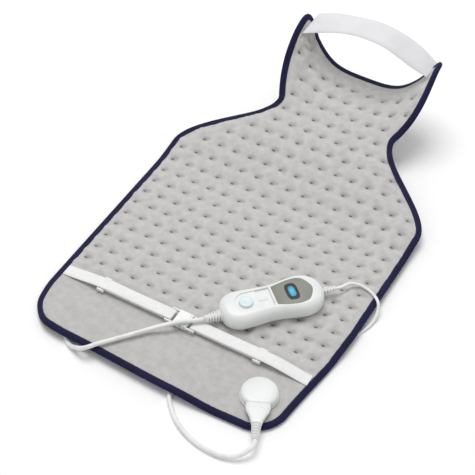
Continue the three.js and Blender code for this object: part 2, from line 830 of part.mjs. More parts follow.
function buckleSocketGeometry() {
  const bodyX = leftBarX + buckleEndWall / 2 + buckleWindow;
  const body = boxBetween(
    [bodyX, waistY - buckleWidth / 2, plyMiddleZ - buckleThickness / 2],
    [buckleJointX - seatGap, waistY + buckleWidth / 2, plyMiddleZ + buckleThickness / 2],
  );
  const cavityHalf = buckleWidth / 2 - socketSideWall;
  const cavity = boxBetween(
    [buckleJointX - prongLength - prongGap, waistY - cavityHalf, plyMiddleZ - prongHalfHeight - prongGap],
    [buckleJointX + overrun, waistY + cavityHalf, plyMiddleZ + prongHalfHeight + prongGap],
  );
  const slots = boxBetween(
    [buckleJointX - prongLength, waistY - buckleWidth, plyMiddleZ - releaseSlotHeight / 2],
    [buckleJointX - prongLength + releaseSlotLength, waistY + buckleWidth, plyMiddleZ + releaseSlotHeight / 2],
  );
  const rails = buckleRails(leftBarX - buckleEndWall / 2, bodyX + buckleRailWidth);
  return cut(join(body, strapBar(leftBarX), ...rails), cavity, slots);
}

function buckleClipGeometry() {
  const wall = boxBetween(
    [buckleJointX, waistY - buckleWidth / 2, plyMiddleZ - buckleThickness / 2],
    [clipWallX, waistY + buckleWidth / 2, plyMiddleZ + buckleThickness / 2],
  );
  const span = buckleWidth / 2 - socketSideWall - prongGap;
  const prongWidth = span / 2.5;
  const prongs = [-1, 0, 1].map((place) => {
    const y = waistY + place * (span - prongWidth / 2);
    return boxBetween(
      [buckleJointX - prongLength, y - prongWidth / 2, plyMiddleZ - prongHalfHeight],
      [buckleJointX + buckleEndWall / 2, y + prongWidth / 2, plyMiddleZ + prongHalfHeight],
    );
  });
  const rails = buckleRails(clipWallX - buckleRailWidth / 2, rightBarX + buckleEndWall / 2);
  return join(wall, ...prongs, strapBar(rightBarX), ...rails);
}

// Connector on the pad: a round socket and the removable connector, in a frame of their own
// whose X axis is the way the connector pulls out
const socketInward = 66;
const socketUp = 58;
const socketX = rightEdgeX - socketInward;
const socketY = bottomEdgeY + socketUp;
const connectorTurn = -65.4;
const socketRadius = 26.5;
const socketBaseThickness = 3;
const socketCoverRadius = 25.2;
const socketCoverHeight = 12.2;
const socketWall = 1.6;
const pinRadius = 1.1;
const pinSpacing = 10;
const pinStartX = -3;
const pinEndX = 16.5;
const pinZ = 6.7;
const pinBlockStartX = -5;
const pinBlockEndX = 4.5;
const pinBlockHalfWidth = 9;
const pinBlockTop = 9.4;
const rivetRadius = 1.4;
const rivetX = -10;
const rivetSpacing = 22;
const rivetSides = 6;
const rivetHeadRadius = 2.6;
const rivetHeadThickness = 0.5;
const rivetTop = 1.7;
const backplateRadius = 18;
const backplateThickness = 0.8;
const notchX = 18.8;
const notchHalfWidth = 17.2;
const tongueStartX = 5.5;
const tongueHalfWidth = 11.5;
const tongueLow = 4.1;
const tongueHigh = 9.3;
const connectorStartX = 19.2;
const connectorLength = 33.6;
const connectorEndX = connectorStartX + connectorLength;
const connectorZ = 7.9;
const connectorWall = 1.8;
const sleeveWall = 0.5;
const sleeveStartX = 7;
const sleeveEndX = 25;
const connectorScrewX = 29;
const connectorScrewSpacing = 9;
const connectorScrewRadius = 1.2;
const connectorShankRadius = 0.8;
const connectorScrewTop = 11.8;
const connectorScrewTip = 5.8;
const connectorBossRadius = 2.4;
const connectorReliefLength = 23;
const connectorReliefRadius = 5.4;
const connectorReliefEndRadius = 3.9;
const connectorReliefRibs = 5;
const connectorTravel = 20;
const leadRadius = 3.2;

const socketGroup = new THREE.Group();
socketGroup.position.set(socketX, socketY, coverTopZ + seatGap);
socketGroup.rotation.z = THREE.MathUtils.degToRad(connectorTurn);
part.add(socketGroup);

// Heights in the socket's frame of the pieces below the front cover
const coverUnderside = coverBottom - coverTop - seatGap;
const plateTop = coverUnderside - seatGap / 3;
const plateLow = plateTop - backplateThickness;
const rivetHeadTop = plateLow - seatGap / 3;

function rivetHoles(low, high) {
  return [-1, 1].map((side) => (
    post(rivetRadius + seatGap, low, high - low, rivetX, (side * rivetSpacing) / 2, rivetSides)));
}

function rivetGeometry(side) {
  const y = (side * rivetSpacing) / 2;
  const head = post(rivetHeadRadius, rivetHeadTop - rivetHeadThickness, rivetHeadThickness, rivetX, y, 12);
  const low = rivetHeadTop - rivetHeadThickness / 2;
  return join(head, post(rivetRadius, low, rivetTop - low, rivetX, y, rivetSides));
}

function backplateGeometry() {
  const plateDisc = post(backplateRadius, plateLow, backplateThickness, 0, 0, roundSides);
  return cut(plateDisc, ...rivetHoles(plateLow - overrun, plateTop + overrun));
}

function socketBaseGeometry() {
  const rim = socketBaseThickness / 3;
  const profile = [
    [0, 0], [socketRadius - rim, 0], [socketRadius, rim], [socketRadius, socketBaseThickness - rim],
    [socketRadius - rim, socketBaseThickness], [0, socketBaseThickness],
  ];
  const disc = new THREE.LatheGeometry(profile.map(([r, z]) => new THREE.Vector2(r, z)), roundSides);
  disc.rotateX(Math.PI / 2);
  const block = boxBetween(
    [pinBlockStartX, -pinBlockHalfWidth, socketBaseThickness / 2],
    [pinBlockEndX, pinBlockHalfWidth, pinBlockTop],
  );
  const pinHoles = [-1, 1].map((side) => (
    rod(pinRadius + seatGap, pinStartX - seatGap, pinBlockEndX + overrun, (side * pinSpacing) / 2, pinZ)));
  return cut(join(disc, block), ...pinHoles, ...rivetHoles(-overrun, rivetTop + seatGap));
}

// The dome's rounded shoulder, as shares of its radius, [drawn in, down from the top]
const domeShares = [[0, 0.15], [0.05, 0.0625], [0.175, 0.01875], [0.375, 0]];

function dome(radius, low, top, sides = roundSides) {
  const shoulder = domeShares.map(([inShare, downShare]) => [radius * (1 - inShare), top - radius * downShare]);
  const profile = [[0, low], [radius, low], ...shoulder, [0, top]];
  const geometry = new THREE.LatheGeometry(profile.map(([r, z]) => new THREE.Vector2(r, z)), sides);
  geometry.rotateX(Math.PI / 2);
  return geometry;
}

function socketCoverGeometry() {
  const low = socketBaseThickness + seatGap;
  const outer = dome(socketCoverRadius, low, socketCoverHeight);
  const inner = dome(socketCoverRadius - socketWall, low - overrun, socketCoverHeight - socketWall);
  const notch = boxBetween(
    [notchX, -notchHalfWidth, low - overrun],
    [socketRadius + overrun, notchHalfWidth, socketCoverHeight + overrun],
  );
  return cut(outer, inner, notch);
}

// Rounded cross-sections of the connector, as [distance from its wide end, half width, half height]
const connectorSections = [
  [0, 16.4, 4.0], [7, 16.8, 4.15], [13, 15.4, 4.1], [19, 12, 4.0], [26, 8.8, 4.0], [connectorLength, 7, 4.1],
];

const sectionSquareShare = 0.5;

function roundedSection(x, halfWidthY, halfHeight, middleZ, sides = 20) {
  return Array.from({ length: sides }, (unused, index) => {
    const turn = (2 * Math.PI * (index + 0.5)) / sides;
    const square = (value) => Math.sign(value) * Math.abs(value) ** sectionSquareShare;
    return new THREE.Vector3(x, halfWidthY * square(Math.cos(turn)), middleZ + halfHeight * square(Math.sin(turn)));
  });
}

function connectorBody(inset) {
  return loft(connectorSections.map(([run, wide, high], index) => {
    const ends = index === 0 ? inset : index === connectorSections.length - 1 ? -inset : 0;
    return roundedSection(connectorStartX + run + ends, wide - inset, high - inset, connectorZ);
  }));
}

function connectorHalf(upper) {
  const far = socketRadius * 3;
  const edge = connectorZ + (upper ? seatGap / 2 : -seatGap / 2);
  const other = boxBetween(
    [-far, -far, upper ? -far : edge],
    [far, far, upper ? edge : far],
  );
  return other;
}

function connectorTongue() {
  return boxBetween(
    [tongueStartX, -tongueHalfWidth, tongueLow],
    [connectorStartX + connectorWall, tongueHalfWidth, tongueHigh],
  );
}

function sleeveBores(radius) {
  return [-1, 1].map((side) => (
    rod(radius, tongueStartX - overrun, sleeveEndX + seatGap, (side * pinSpacing) / 2, pinZ)));
}

const connectorScrewPlaces = [-1, 1].map((side) => [connectorScrewX, (side * connectorScrewSpacing) / 2]);

function connectorShell(upper) {
  const bores = sleeveBores(pinRadius + seatGap + sleeveWall + seatGap);
  const hollow = connectorBody(connectorWall);
  const screws = connectorScrewPlaces.map(([x, y]) => (
    post(connectorScrewRadius + seatGap, connectorZ, 2 * overrun, x, y, 12)));
  const room = boxBetween(
    [tongueStartX - overrun, -tongueHalfWidth - seatGap, tongueLow - seatGap],
    [connectorStartX + connectorWall + seatGap, tongueHalfWidth + seatGap, tongueHigh + seatGap],
  );
  if (upper) return cut(connectorBody(0), hollow, connectorHalf(true), room, ...screws);
  const half = cut(join(cut(connectorBody(0), connectorHalf(false)), connectorTongue()), hollow);
  const bossLow = connectorZ - connectorSections[0][2] + connectorWall / 2;
  const bossHigh = connectorZ - seatGap / 2;
  const bosses = connectorScrewPlaces.map(([x, y]) => (
    post(connectorBossRadius, bossLow, bossHigh - bossLow, x, y, 12)));
  const threads = connectorScrewPlaces.map(([x, y]) => (
    post(connectorShankRadius + seatGap, connectorScrewTip - seatGap, 2 * overrun, x, y, 12)));
  return cut(join(half, ...bosses), ...bores, ...threads);
}

function connectorScrewGeometry([x, y]) {
  const neck = connectorScrewTop - connectorScrewRadius;
  return join(
    post(connectorScrewRadius, neck, connectorScrewTop - neck, x, y, 12),
    post(connectorShankRadius, connectorScrewTip, neck - connectorScrewTip + seatGap, x, y, 12),
  );
}

function tubeAlongX(outer, inner, start, end, y, z) {
  const profile = [
    new THREE.Vector2(inner, start), new THREE.Vector2(outer, start), new THREE.Vector2(outer, end),
    new THREE.Vector2(inner, end), new THREE.Vector2(inner, start),
  ];
  const geometry = new THREE.LatheGeometry(profile, 12);
  geometry.rotateZ(-Math.PI / 2);
  geometry.translate(0, y, z);
  return geometry;
}

// The ribbed run of a relief and its grooves, as shares of its length, one rib's step and its radii
const ribRunStartShare = 0.12;
const ribRunShare = 0.8;
const grooveStartShare = 0.15;
const grooveEndShare = 0.5;
const grooveDepthShare = 0.0625;
const ribTaperShare = 0.1;

// A tapered, ribbed strain relief along X, from a housing at start to the cord at end
function reliefGeometry(start, end, startRadius, endRadius, ribs) {
  const length = end - start;
  const groove = (startRadius + endRadius) * grooveDepthShare;
  const step = (length * ribRunShare) / ribs;
  const profile = [[start, 0], [start, startRadius]];
  for (let rib = 0; rib < ribs; rib += 1) {
    const from = start + length * ribRunStartShare + step * rib;
    const radius = startRadius + (endRadius - startRadius) * (ribTaperShare + rib / ribs);
    profile.push([from, radius]);
    profile.push([from + step * grooveStartShare, radius - groove], [from + step * grooveEndShare, radius - groove]);
  }
  profile.push([end, endRadius], [end, 0]);
  return turnedAlongX(profile, 10);
}

// Controller: a handset in a frame of its own, X towards its display end, Z up from its underside
const handsetX = across(0.205);
const handsetUp = 84;
const handsetY = waistY + handsetUp;
const handsetTurn = 48;
const handsetRest = 0.3;
const handsetHeight = 26;
const handsetSplit = 12.6;
const handsetWall = 2.2;
const handsetSteps = 28;
const handsetHalfOutline = [
  [-76, 0], [-74, 12], [-68, 22], [-56, 28.5], [-36, 29], [-12, 27.2],
  [8, 27.8], [30, 31.5], [48, 32], [62, 26.5], [71, 16], [75.5, 0],
];
// Height of a section and how far it is drawn in from the outline
const lowerSections = [[0, 7], [1.2, 4], [3.6, 1.6], [7, 0.4], [10, 0], [handsetSplit, 0]];
const upperSections = [
  [handsetSplit + seatGap, 0], [17, 0.7], [20.5, 2.2], [23.2, 4.4], [25.2, 7.4], [handsetHeight, 10.5],
];

const handsetGroup = new THREE.Group();
handsetGroup.position.set(handsetX, handsetY, undersideZ + crownTop + handsetRest);
handsetGroup.rotation.z = THREE.MathUtils.degToRad(handsetTurn);
part.add(handsetGroup);

function closedLine(points, steps) {
  const curve = new THREE.CatmullRomCurve3(points.map(([x, y]) => new THREE.Vector3(x, y, 0)), true, 'centripetal');
  return curve.getSpacedPoints(steps).slice(0, -1).map((point) => new THREE.Vector2(point.x, point.y));
}

const handsetLine = closedLine([
  ...handsetHalfOutline.map(([x, y]) => [x, -y]),
  ...handsetHalfOutline.slice(1, -1).reverse(),
], handsetSteps);

function drawnIn(line, distance) {
  return line.map((point, index) => {
    const way = line[(index + 1) % line.length].clone().sub(line.at(index - 1)).normalize();
    return point.clone().add(new THREE.Vector2(-way.y, way.x).multiplyScalar(distance));
  });
}

function handsetBody(sections) {
  return loft(sections.map(([z, inset]) => (
    drawnIn(handsetLine, inset).map((point) => new THREE.Vector3(point.x, point.y, z)))));
}

// Openings and seats in the top, as [x, y] lines in the handset's frame
const panelStartX = 2.5;
const panelEndX = 58;
const panelHalfWidth = 22.5;
const panelThickness = 1.6;
const recessStartX = -54;
const recessEndX = -1.5;
const recessRadius = 17;
const recessDepth = 3;
const displayX = 28.5;
const displayLength = 16;
const displayWidth = 25;
const displayBorder = 3.2;
const displayLift = 0.4;
const lensThickness = 1.6;
const knobX = -38.5;
const knobRadius = 10;
const knobHeight = 4.6;
const knobClearance = 0.9;
const knobTravel = 14;
const knobLowEdge = 0.8;
const knobTopEdge = 1.4;
const knobTopRun = 1.6;
const knobDish = 0.5;
const stemX = -45;
const stemHalf = 1.2;
const markStartX = -27;
const markEndX = -7;
const markHalfWidth = 3;
const markHeight = 0.5;
const barHalfWidth = 12;
const barLength = 2.8;
const barEndX = 2;
const switchHeight = 5.5;
const switchStartX = -56;
const switchEndX = -27;
const switchHalfWidth = 7;
const carriageHalf = 4;
const carriageThickness = 1.8;
const barHeight = 0.8;

// Half of the panel's outline, as shares of its length and half width, from the knob's side
const panelShares = [[0, 0.733], [0.351, 0.938], [0.604, 1], [0.802, 0.884], [0.928, 0.5], [1, 0]];
const panelHalfLine = panelShares.map(([lengthShare, widthShare]) => [
  panelStartX + lengthShare * (panelEndX - panelStartX), widthShare * panelHalfWidth]);
const panelLine = [...panelHalfLine.map(([x, y]) => [x, -y]), ...panelHalfLine.slice(0, -1).reverse()];

function recessLine() {
  const centreX = recessStartX + recessRadius;
  const arc = evenValues(Math.PI / 2, (3 * Math.PI) / 2, Math.PI / 12).map((turn) => [
    centreX + recessRadius * Math.cos(turn), recessRadius * Math.sin(turn)]);
  return [...arc, [recessEndX, -recessRadius], [recessEndX, recessRadius]];
}

const displaySquareShare = 0.6;
const displaySides = 24;

function displayLine(length, width) {
  const square = (value) => Math.sign(value) * Math.abs(value) ** displaySquareShare;
  return Array.from({ length: displaySides }, (unused, index) => {
    const turn = (2 * Math.PI * index) / displaySides;
    return [displayX + (square(Math.cos(turn)) * length) / 2, (square(Math.sin(turn)) * width) / 2];
  });
}

function plate(line, low, high, inset = 0) {
  const outlinePoints = line.map(([x, y]) => new THREE.Vector2(x, y));
  const area = THREE.ShapeUtils.area(outlinePoints);
  const moved = drawnIn(area > 0 ? outlinePoints : outlinePoints.reverse(), inset);
  const geometry = new THREE.ExtrudeGeometry(new THREE.Shape(moved), { depth: high - low, bevelEnabled: false });
  geometry.translate(0, 0, low);
  return geometry;
}

// Cord reliefs, board and screws inside the handset
const reliefZ = 10.8;
const leadReliefRadius = 5.6;
const leadReliefEndRadius = 4;
const leadReliefEndX = -98;
const mainsReliefRadius = 5;
const mainsReliefEndRadius = 3;
const mainsReliefEndX = 95;
const leadReliefX = -77;
const mainsReliefX = 76;
const reliefFlange = 1.6;
const reliefFlangeLength = 2.4;
const reliefOverlap = 0.5;
const leadFlangeX = -68.5;
const mainsFlangeX = 66.5;
const boardLow = 8.4;
const boardThickness = 1.6;
const boardHalfWidth = 15.5;
const boardStartX = -60;
const boardEndX = 56;
const boardFootInset = 8;
const boardFootHalf = 2;
const screwPlaces = [[-46, 20.5], [-46, -20.5], [44, 22.5], [44, -22.5]];
const screwRadius = 1.2;
const screwHeadRadius = 2.4;
const screwHeadDepth = 3;
const screwHeadHeight = 1.8;
const screwLength = 17;
const bossRadius = 3.4;
const screwSides = 10;

const screwTip = screwHeadDepth + screwLength;
const boardHigh = boardLow + boardThickness;
const topFloor = handsetHeight - recessDepth;
const innerTop = handsetHeight - handsetWall;
const innerTopEdge = 1.4;

function reliefHoles() {
  return [
    rod(leadReliefRadius + seatGap, leadReliefEndX, leadFlangeX, 0, reliefZ, 20),
    rod(mainsReliefRadius + seatGap, mainsFlangeX, mainsReliefEndX, 0, reliefZ, 20),
  ];
}

function inner(sections) {
  return sections.map(([z, inset]) => [z, inset + handsetWall]);
}

function lowerShellGeometry() {
  const cavity = handsetBody([
    [handsetWall, lowerSections[1][1] + handsetWall],
    ...inner(lowerSections.slice(2, -1)),
    [handsetSplit + overrun, handsetWall],
  ]);
  const bosses = screwPlaces.map(([x, y]) => (
    post(bossRadius, handsetWall / 2, handsetSplit - handsetWall / 2, x, y, screwSides)));
  const feet = [boardStartX + boardFootInset, boardEndX - boardFootInset].map((x) => boxBetween(
    [x - boardFootHalf, -boardHalfWidth + boardFootHalf, handsetWall / 2],
    [x + boardFootHalf, boardHalfWidth - boardFootHalf, boardLow]));
  const bores = screwPlaces.flatMap(([x, y]) => [
    post(screwRadius + seatGap, -overrun, handsetSplit + 2 * overrun, x, y, screwSides),
    post(screwHeadRadius + seatGap, -overrun, overrun + screwHeadDepth, x, y, screwSides),
  ]);
  return cut(join(cut(handsetBody(lowerSections), cavity), ...bosses, ...feet), ...bores, ...reliefHoles());
}

function upperShellGeometry() {
  const start = handsetSplit + seatGap;
  const cavity = handsetBody([
    [start - overrun, handsetWall],
    ...inner(upperSections.slice(1, -2)).map(([z, inset]) => [z - handsetWall / 2, inset]),
    [innerTop - innerTopEdge, upperSections.at(-2)[1] + handsetWall],
  ]);
  const bosses = screwPlaces.map(([x, y]) => (
    post(bossRadius, start, innerTop - start + handsetWall / 2, x, y, screwSides)));
  const bores = screwPlaces.map(([x, y]) => (
    post(screwRadius + seatGap, start - overrun, screwTip + seatGap - start + overrun, x, y, screwSides)));
  const recessFloor = plate(recessLine(), topFloor - handsetWall, innerTop, -handsetWall);
  const stemSlot = boxBetween(
    [stemX - stemHalf - seatGap, -stemHalf - seatGap, topFloor - overrun],
    [stemX + knobTravel + stemHalf + seatGap, stemHalf + seatGap, handsetHeight],
  );
  const shell = cut(
    join(cut(handsetBody(upperSections), cavity), ...bosses, recessFloor),
    plate(recessLine(), topFloor, handsetHeight + overrun),
    plate(panelLine, handsetHeight - panelThickness, handsetHeight + overrun, -seatGap),
    plate(displayLine(displayLength, displayWidth), handsetSplit + overrun, handsetHeight, -seatGap),
    stemSlot,
    ...bores,
    ...reliefHoles(),
  );
  const bar = boxBetween(
    [barEndX - barLength, -barHalfWidth, handsetHeight - barHeight],
    [barEndX, barHalfWidth, handsetHeight + barHeight],
  );
  return join(shell, bar);
}

function panelGeometry() {
  const sheet = plate(panelLine, handsetHeight - panelThickness, handsetHeight);
  const opening = displayLine(displayLength, displayWidth);
  return cut(sheet, plate(opening, handsetHeight - overrun, handsetHeight + overrun, -seatGap));
}

const frameLow = handsetHeight - 2 * panelThickness;

function displayFrameGeometry() {
  const opening = displayLine(displayLength - 2 * displayBorder, displayWidth - 3 * displayBorder);
  return cut(
    plate(displayLine(displayLength, displayWidth), frameLow, handsetHeight + displayLift),
    plate(opening, frameLow - overrun, handsetHeight + overrun),
  );
}

function lensGeometry() {
  const opening = displayLine(displayLength - 2 * displayBorder, displayWidth - 3 * displayBorder);
  return plate(opening, handsetHeight - lensThickness, handsetHeight, seatGap);
}

function carriageGeometry() {
  const low = boardHigh + switchHeight + seatGap;
  const foot = boxBetween(
    [stemX - carriageHalf, -carriageHalf, low],
    [stemX + carriageHalf, carriageHalf, low + carriageThickness],
  );
  const stem = boxBetween(
    [stemX - stemHalf, -stemHalf, low + carriageThickness / 2],
    [stemX + stemHalf, stemHalf, topFloor + knobClearance],
  );
  return join(foot, stem);
}

function handsetScrewGeometry([x, y]) {
  return join(
    post(screwHeadRadius, screwHeadDepth - screwHeadHeight, screwHeadHeight, x, y, screwSides),
    post(screwRadius, screwHeadDepth - screwHeadHeight / 2, screwLength + screwHeadHeight / 2, x, y, screwSides),
  );
}

function knobGeometry() {
  const low = topFloor + knobClearance;
  const top = low + knobHeight;
  const profile = [
    [0, low], [knobRadius - knobLowEdge, low], [knobRadius, low + knobLowEdge], [knobRadius, top - knobTopEdge],
    [knobRadius - knobTopRun, top], [knobRadius / 2, top - knobDish / 2], [0, top - knobDish],
  ];
  const geometry = new THREE.LatheGeometry(profile.map(([r, z]) => new THREE.Vector2(r, z)), roundSides);
  geometry.rotateX(Math.PI / 2);
  geometry.translate(knobX, 0, 0);
  return geometry;
}

function markGeometry() {
  return plate([[markStartX, 0], [markEndX, -markHalfWidth], [markEndX, markHalfWidth]],
    topFloor, topFloor + markHeight);
}

function flangedRelief(flangeX, outerX, endX, startRadius, endRadius, ribs) {
  const way = Math.sign(endX);
  const flange = rod(startRadius + reliefFlange, 0, reliefFlangeLength, 0, 0, 16);
  flange.translate(Math.abs(flangeX) - reliefFlangeLength, 0, 0);
  const neck = rod(startRadius, Math.abs(flangeX) - reliefFlangeLength / 2, Math.abs(outerX) + reliefOverlap, 0, 0, 16);
  const outer = reliefGeometry(Math.abs(outerX), Math.abs(endX), startRadius, endRadius, ribs);
  const geometry = join(flange, neck, outer);
  if (way < 0) geometry.rotateZ(Math.PI);
  geometry.translate(0, 0, reliefZ);
  return geometry;
}

// Cords

const mainsRadius = 2.2;
const cordSides = 8;
const cordStepDiameters = 3;
const floorGap = 0.1;
const endGap = 0.3;
const reliefRun = 7;
const relievedDrop = 0.4;
const leadJoinX = 38;
const leadJoinUp = 7;
const leadJoinRun = 12;

const leadFloorZ = leadRadius + floorGap;
const mainsFloorZ = mainsRadius + floorGap;

function cordGeometry(points, radius) {
  const curve = new THREE.CatmullRomCurve3(points, false, 'centripetal');
  const steps = Math.round(curve.getLength() / (2 * radius * cordStepDiameters));
  const circle = new THREE.Shape();
  Array.from({ length: cordSides }, (unused, index) => {
    const turn = (2 * Math.PI * index) / cordSides;
    const corner = [radius * Math.cos(turn), radius * Math.sin(turn)];
    return index === 0 ? circle.moveTo(...corner) : circle.lineTo(...corner);
  });
  return new THREE.ExtrudeGeometry(circle, { steps, bevelEnabled: false, extrudePath: curve });
}

// A place given in a group's frame, in the frame of the whole part
function placeIn(group, x, y, z) {
  group.updateMatrixWorld(true);
  return group.localToWorld(new THREE.Vector3(x, y, z));
}

function xyz(x, y, z) {
  return new THREE.Vector3(x, y, z);
}

const leadStart = placeIn(handsetGroup, leadReliefEndX - endGap, 0, reliefZ);
const leadStartRun = placeIn(handsetGroup, leadReliefEndX - reliefRun, 0, reliefZ);
const mainsStart = placeIn(handsetGroup, mainsReliefEndX + endGap, 0, reliefZ);
const mainsStartRun = placeIn(handsetGroup, mainsReliefEndX + reliefRun, 0, reliefZ);
const loopEnd = placeIn(socketGroup, connectorEndX + connectorReliefLength + endGap, 0, connectorZ);
const loopEndRun = placeIn(
  socketGroup, connectorEndX + connectorReliefLength + reliefRun, 0, connectorZ - relievedDrop);
const leadJoin = xyz(leadJoinX, bottomEdgeY + leadJoinUp, leadFloorZ);
const leadJoinWay = xyz(Math.cos(THREE.MathUtils.degToRad(connectorTurn)),
  Math.sin(THREE.MathUtils.degToRad(connectorTurn)), 0);

// The lead: over the buckle and the bottom edge, then back under the pad to the join,
// as [x, distance inward from the bottom edge, z]
const leadPlaces = [
  [-3, 112.5, 21.2], [-22, 89, 20.6], [-50, 53, 19.8], [-71, 27, 19.4], [-83, 11, 19.4], [-91, 2, 18],
  [-99, 0.5, 13.5], [-108, 1.5, 8.2], [-117, 3.4, 4.4], [-126, 8, leadFloorZ], [-133, 17, leadFloorZ],
  [-135, 29, leadFloorZ], [-128, 40, leadFloorZ], [-114, 47, leadFloorZ], [-92, 50, leadFloorZ],
  [-60, 48, leadFloorZ], [-20, 43, leadFloorZ], [12, 35, leadFloorZ],
];
const leadRoute = [
  leadStart, leadStartRun,
  ...leadPlaces.map(([x, inward, z]) => xyz(x, bottomEdgeY + inward, z)),
  leadJoin.clone().addScaledVector(leadJoinWay, -leadJoinRun), leadJoin.clone().addScaledVector(leadJoinWay, -endGap / 2),
];

// Its last loop, outside the bottom edge, ends in the connector and moves with it,
// as [share of the way from the join to the socket in X, distance outward, z]
const loopPlaces = [
  [0.15, 16, leadFloorZ], [0.3, 30, leadFloorZ], [0.53, 42.5, leadFloorZ], [0.77, 48.5, leadFloorZ],
  [1.04, 48, 4], [1.21, 40, 6.8], [1.3, 28, 11.5],
];
const loopRoute = [
  leadJoin.clone().addScaledVector(leadJoinWay, endGap / 2), leadJoin.clone().addScaledVector(leadJoinWay, leadJoinRun),
  ...loopPlaces.map(([share, outward, z]) => (
    xyz(leadJoin.x + share * (socketX - leadJoin.x), bottomEdgeY - outward, z))),
  loopEndRun, loopEnd,
];

// Mains cord: over the right edge, under the pad, to the coil below the neck
const coilX = across(0.048);
const coilY = along(0.349);
const coilOuterRadius = 34;
const coilApproach = 20;
const coilPitch = 5;
const coilTurnsPerLayer = 3;
const coilLayerRise = 4.9;
const coilClimbDip = 1.8;
const coilSteps = 24;
const coilSides = 6;
const tieThickness = 0.6;
const tieWidth = 4;
const tieSlack = 0.35;
const plugDown = 33;
const plugTopY = coilY - plugDown;
const plugReliefLength = 23;
const plugLength = 35.3;
const plugWidth = 26;
const plugThickness = 13.7;
const plugPinLength = 19;
const plugPinSpacing = 18.8;
const plugPinRadius = 2;
const plugZ = 7;
const plugReliefRadius = 5.2;
const plugReliefEndRadius = 3.2;
const plugReliefRibs = 4;
const plugEdge = 1.2;
const plugEdgeRun = 2;
const plugPinSeat = 12;
const plugPinTip = 1.2;
// The plug's shoulder, as [distance from its relief, half width, half thickness]
const plugShoulder = [[0, 5.4, 5.2], [3, 8.4, 6], [9, plugWidth / 2, plugThickness / 2]];

const coilFloorZ = mainsRadius + tieThickness + tieSlack + floorGap;
// Over the right edge, as [distance inward from it, distance up from the handset's middle, z]
const edgePlaces = [
  [47, 89.5, 20.6], [34, 94.5, 19.2], [20, 93, 18], [8, 88, 16.8], [-0.5, 81, 15], [-5, 71, 9.5], [-6, 58, 4],
  [-3, 42, mainsFloorZ], [4, 26, mainsFloorZ], [15, 17, mainsFloorZ], [26, 21, mainsFloorZ],
  [32.5, 35, mainsFloorZ],
];
// Under the pad, as shares of its width and length
const hiddenShares = [
  [0.421, -0.059], [0.421, 0], [0.419, 0.059], [0.4, 0.114], [0.357, 0.158], [0.305, 0.194], [0.248, 0.227],
  [0.186, 0.264], [0.143, 0.302],
];
const mainsRoute = [
  mainsStart, mainsStartRun,
  ...edgePlaces.map(([inward, up, z]) => xyz(rightEdgeX - inward, handsetY + up, z)),
  ...hiddenShares.map(([shareX, shareY]) => xyz(across(shareX), along(shareY), mainsFloorZ)),
  xyz(coilX + coilOuterRadius, coilY - coilApproach, coilFloorZ),
  xyz(coilX + coilOuterRadius, coilY - 2 * mainsRadius - endGap, coilFloorZ),
];

// The coil's centreline: in along the lower layer, up in half a turn, out along the upper one
function coilPlaces() {
  const places = [xyz(coilX + coilOuterRadius, coilY - 2 * mainsRadius, coilFloorZ)];
  const turns = 2 * coilTurnsPerLayer + 0.5;
  const count = Math.round(turns * coilSteps);
  for (let step = 0; step <= count; step += 1) {
    const turn = step / coilSteps;
    const climb = clamp((turn - coilTurnsPerLayer) / 0.5, 0, 1);
    const inward = Math.min(turn, coilTurnsPerLayer + 0.5);
    const radius = coilOuterRadius - coilPitch * inward + coilPitch * Math.max(turn - coilTurnsPerLayer - 0.5, 0)
      - coilClimbDip * Math.sin(Math.PI * climb);
    places.push(xyz(
      coilX + radius * Math.cos(2 * Math.PI * turn),
      coilY + radius * Math.sin(2 * Math.PI * turn),
      coilFloorZ + coilLayerRise * smoothstep(climb, 0, 1),
    ));
  }
  const last = places.at(-1);
  places.push(xyz(last.x, last.y - 2 * mainsRadius, last.z));
  places.push(xyz(last.x, (last.y + plugTopY) / 2, (last.z + plugZ) / 2));
  places.push(xyz(last.x, plugTopY + 2 * mainsRadius, plugZ), xyz(last.x, plugTopY + endGap, plugZ));
  return places;
}

const coilLine = coilPlaces();
const plugX = coilLine.at(-1).x;

// A tube through places, as one unbroken body
function woundTube(places, radius, sides) {
  const up = xyz(0, 0, 1);
  const rings = places.map((place, index) => {
    const before = places[Math.max(index - 1, 0)];
    const after = places[Math.min(index + 1, places.length - 1)];
    const way = after.clone().sub(before).normalize();
    const sideways = way.clone().cross(up).normalize();
    const over = sideways.clone().cross(way);
    return Array.from({ length: sides }, (unused, side) => {
      const turn = (2 * Math.PI * side) / sides;
      return place.clone()
        .addScaledVector(sideways, radius * Math.cos(turn))
        .addScaledVector(over, radius * Math.sin(turn));
    });
  });
  return loft(rings);
}

function leastGap(places, radius) {
  const skip = Math.ceil(coilSteps / 3);
  let least = Infinity;
  places.forEach((place, index) => {
    places.slice(index + skip).forEach((other) => {
      least = Math.min(least, place.distanceTo(other) - 2 * radius);
    });
  });
  return least;
}

console.log('least gap of the coil to itself, mm:', leastGap(coilLine, mainsRadius).toFixed(2));

// A flat tie round the coil's section on its near side
function tieGeometry() {
  const inside = coilOuterRadius - coilPitch * (coilTurnsPerLayer + 0.5) - mainsRadius - tieSlack;
  const outside = coilOuterRadius + mainsRadius + tieSlack;
  const low = coilFloorZ - mainsRadius - tieSlack;
  const high = coilFloorZ + coilLayerRise + mainsRadius + tieSlack;
  const outer = boxBetween(
    [coilX - tieWidth / 2, coilY - outside - tieThickness, low - tieThickness],
    [coilX + tieWidth / 2, coilY - inside + tieThickness, high + tieThickness],
  );
  const room = boxBetween([coilX - tieWidth, coilY - outside, low], [coilX + tieWidth, coilY - inside, high]);
  return cut(outer, room);
}

function alongDown(geometry) {
  geometry.rotateZ(-Math.PI / 2);
  geometry.translate(plugX, plugTopY, plugZ);
  return geometry;
}

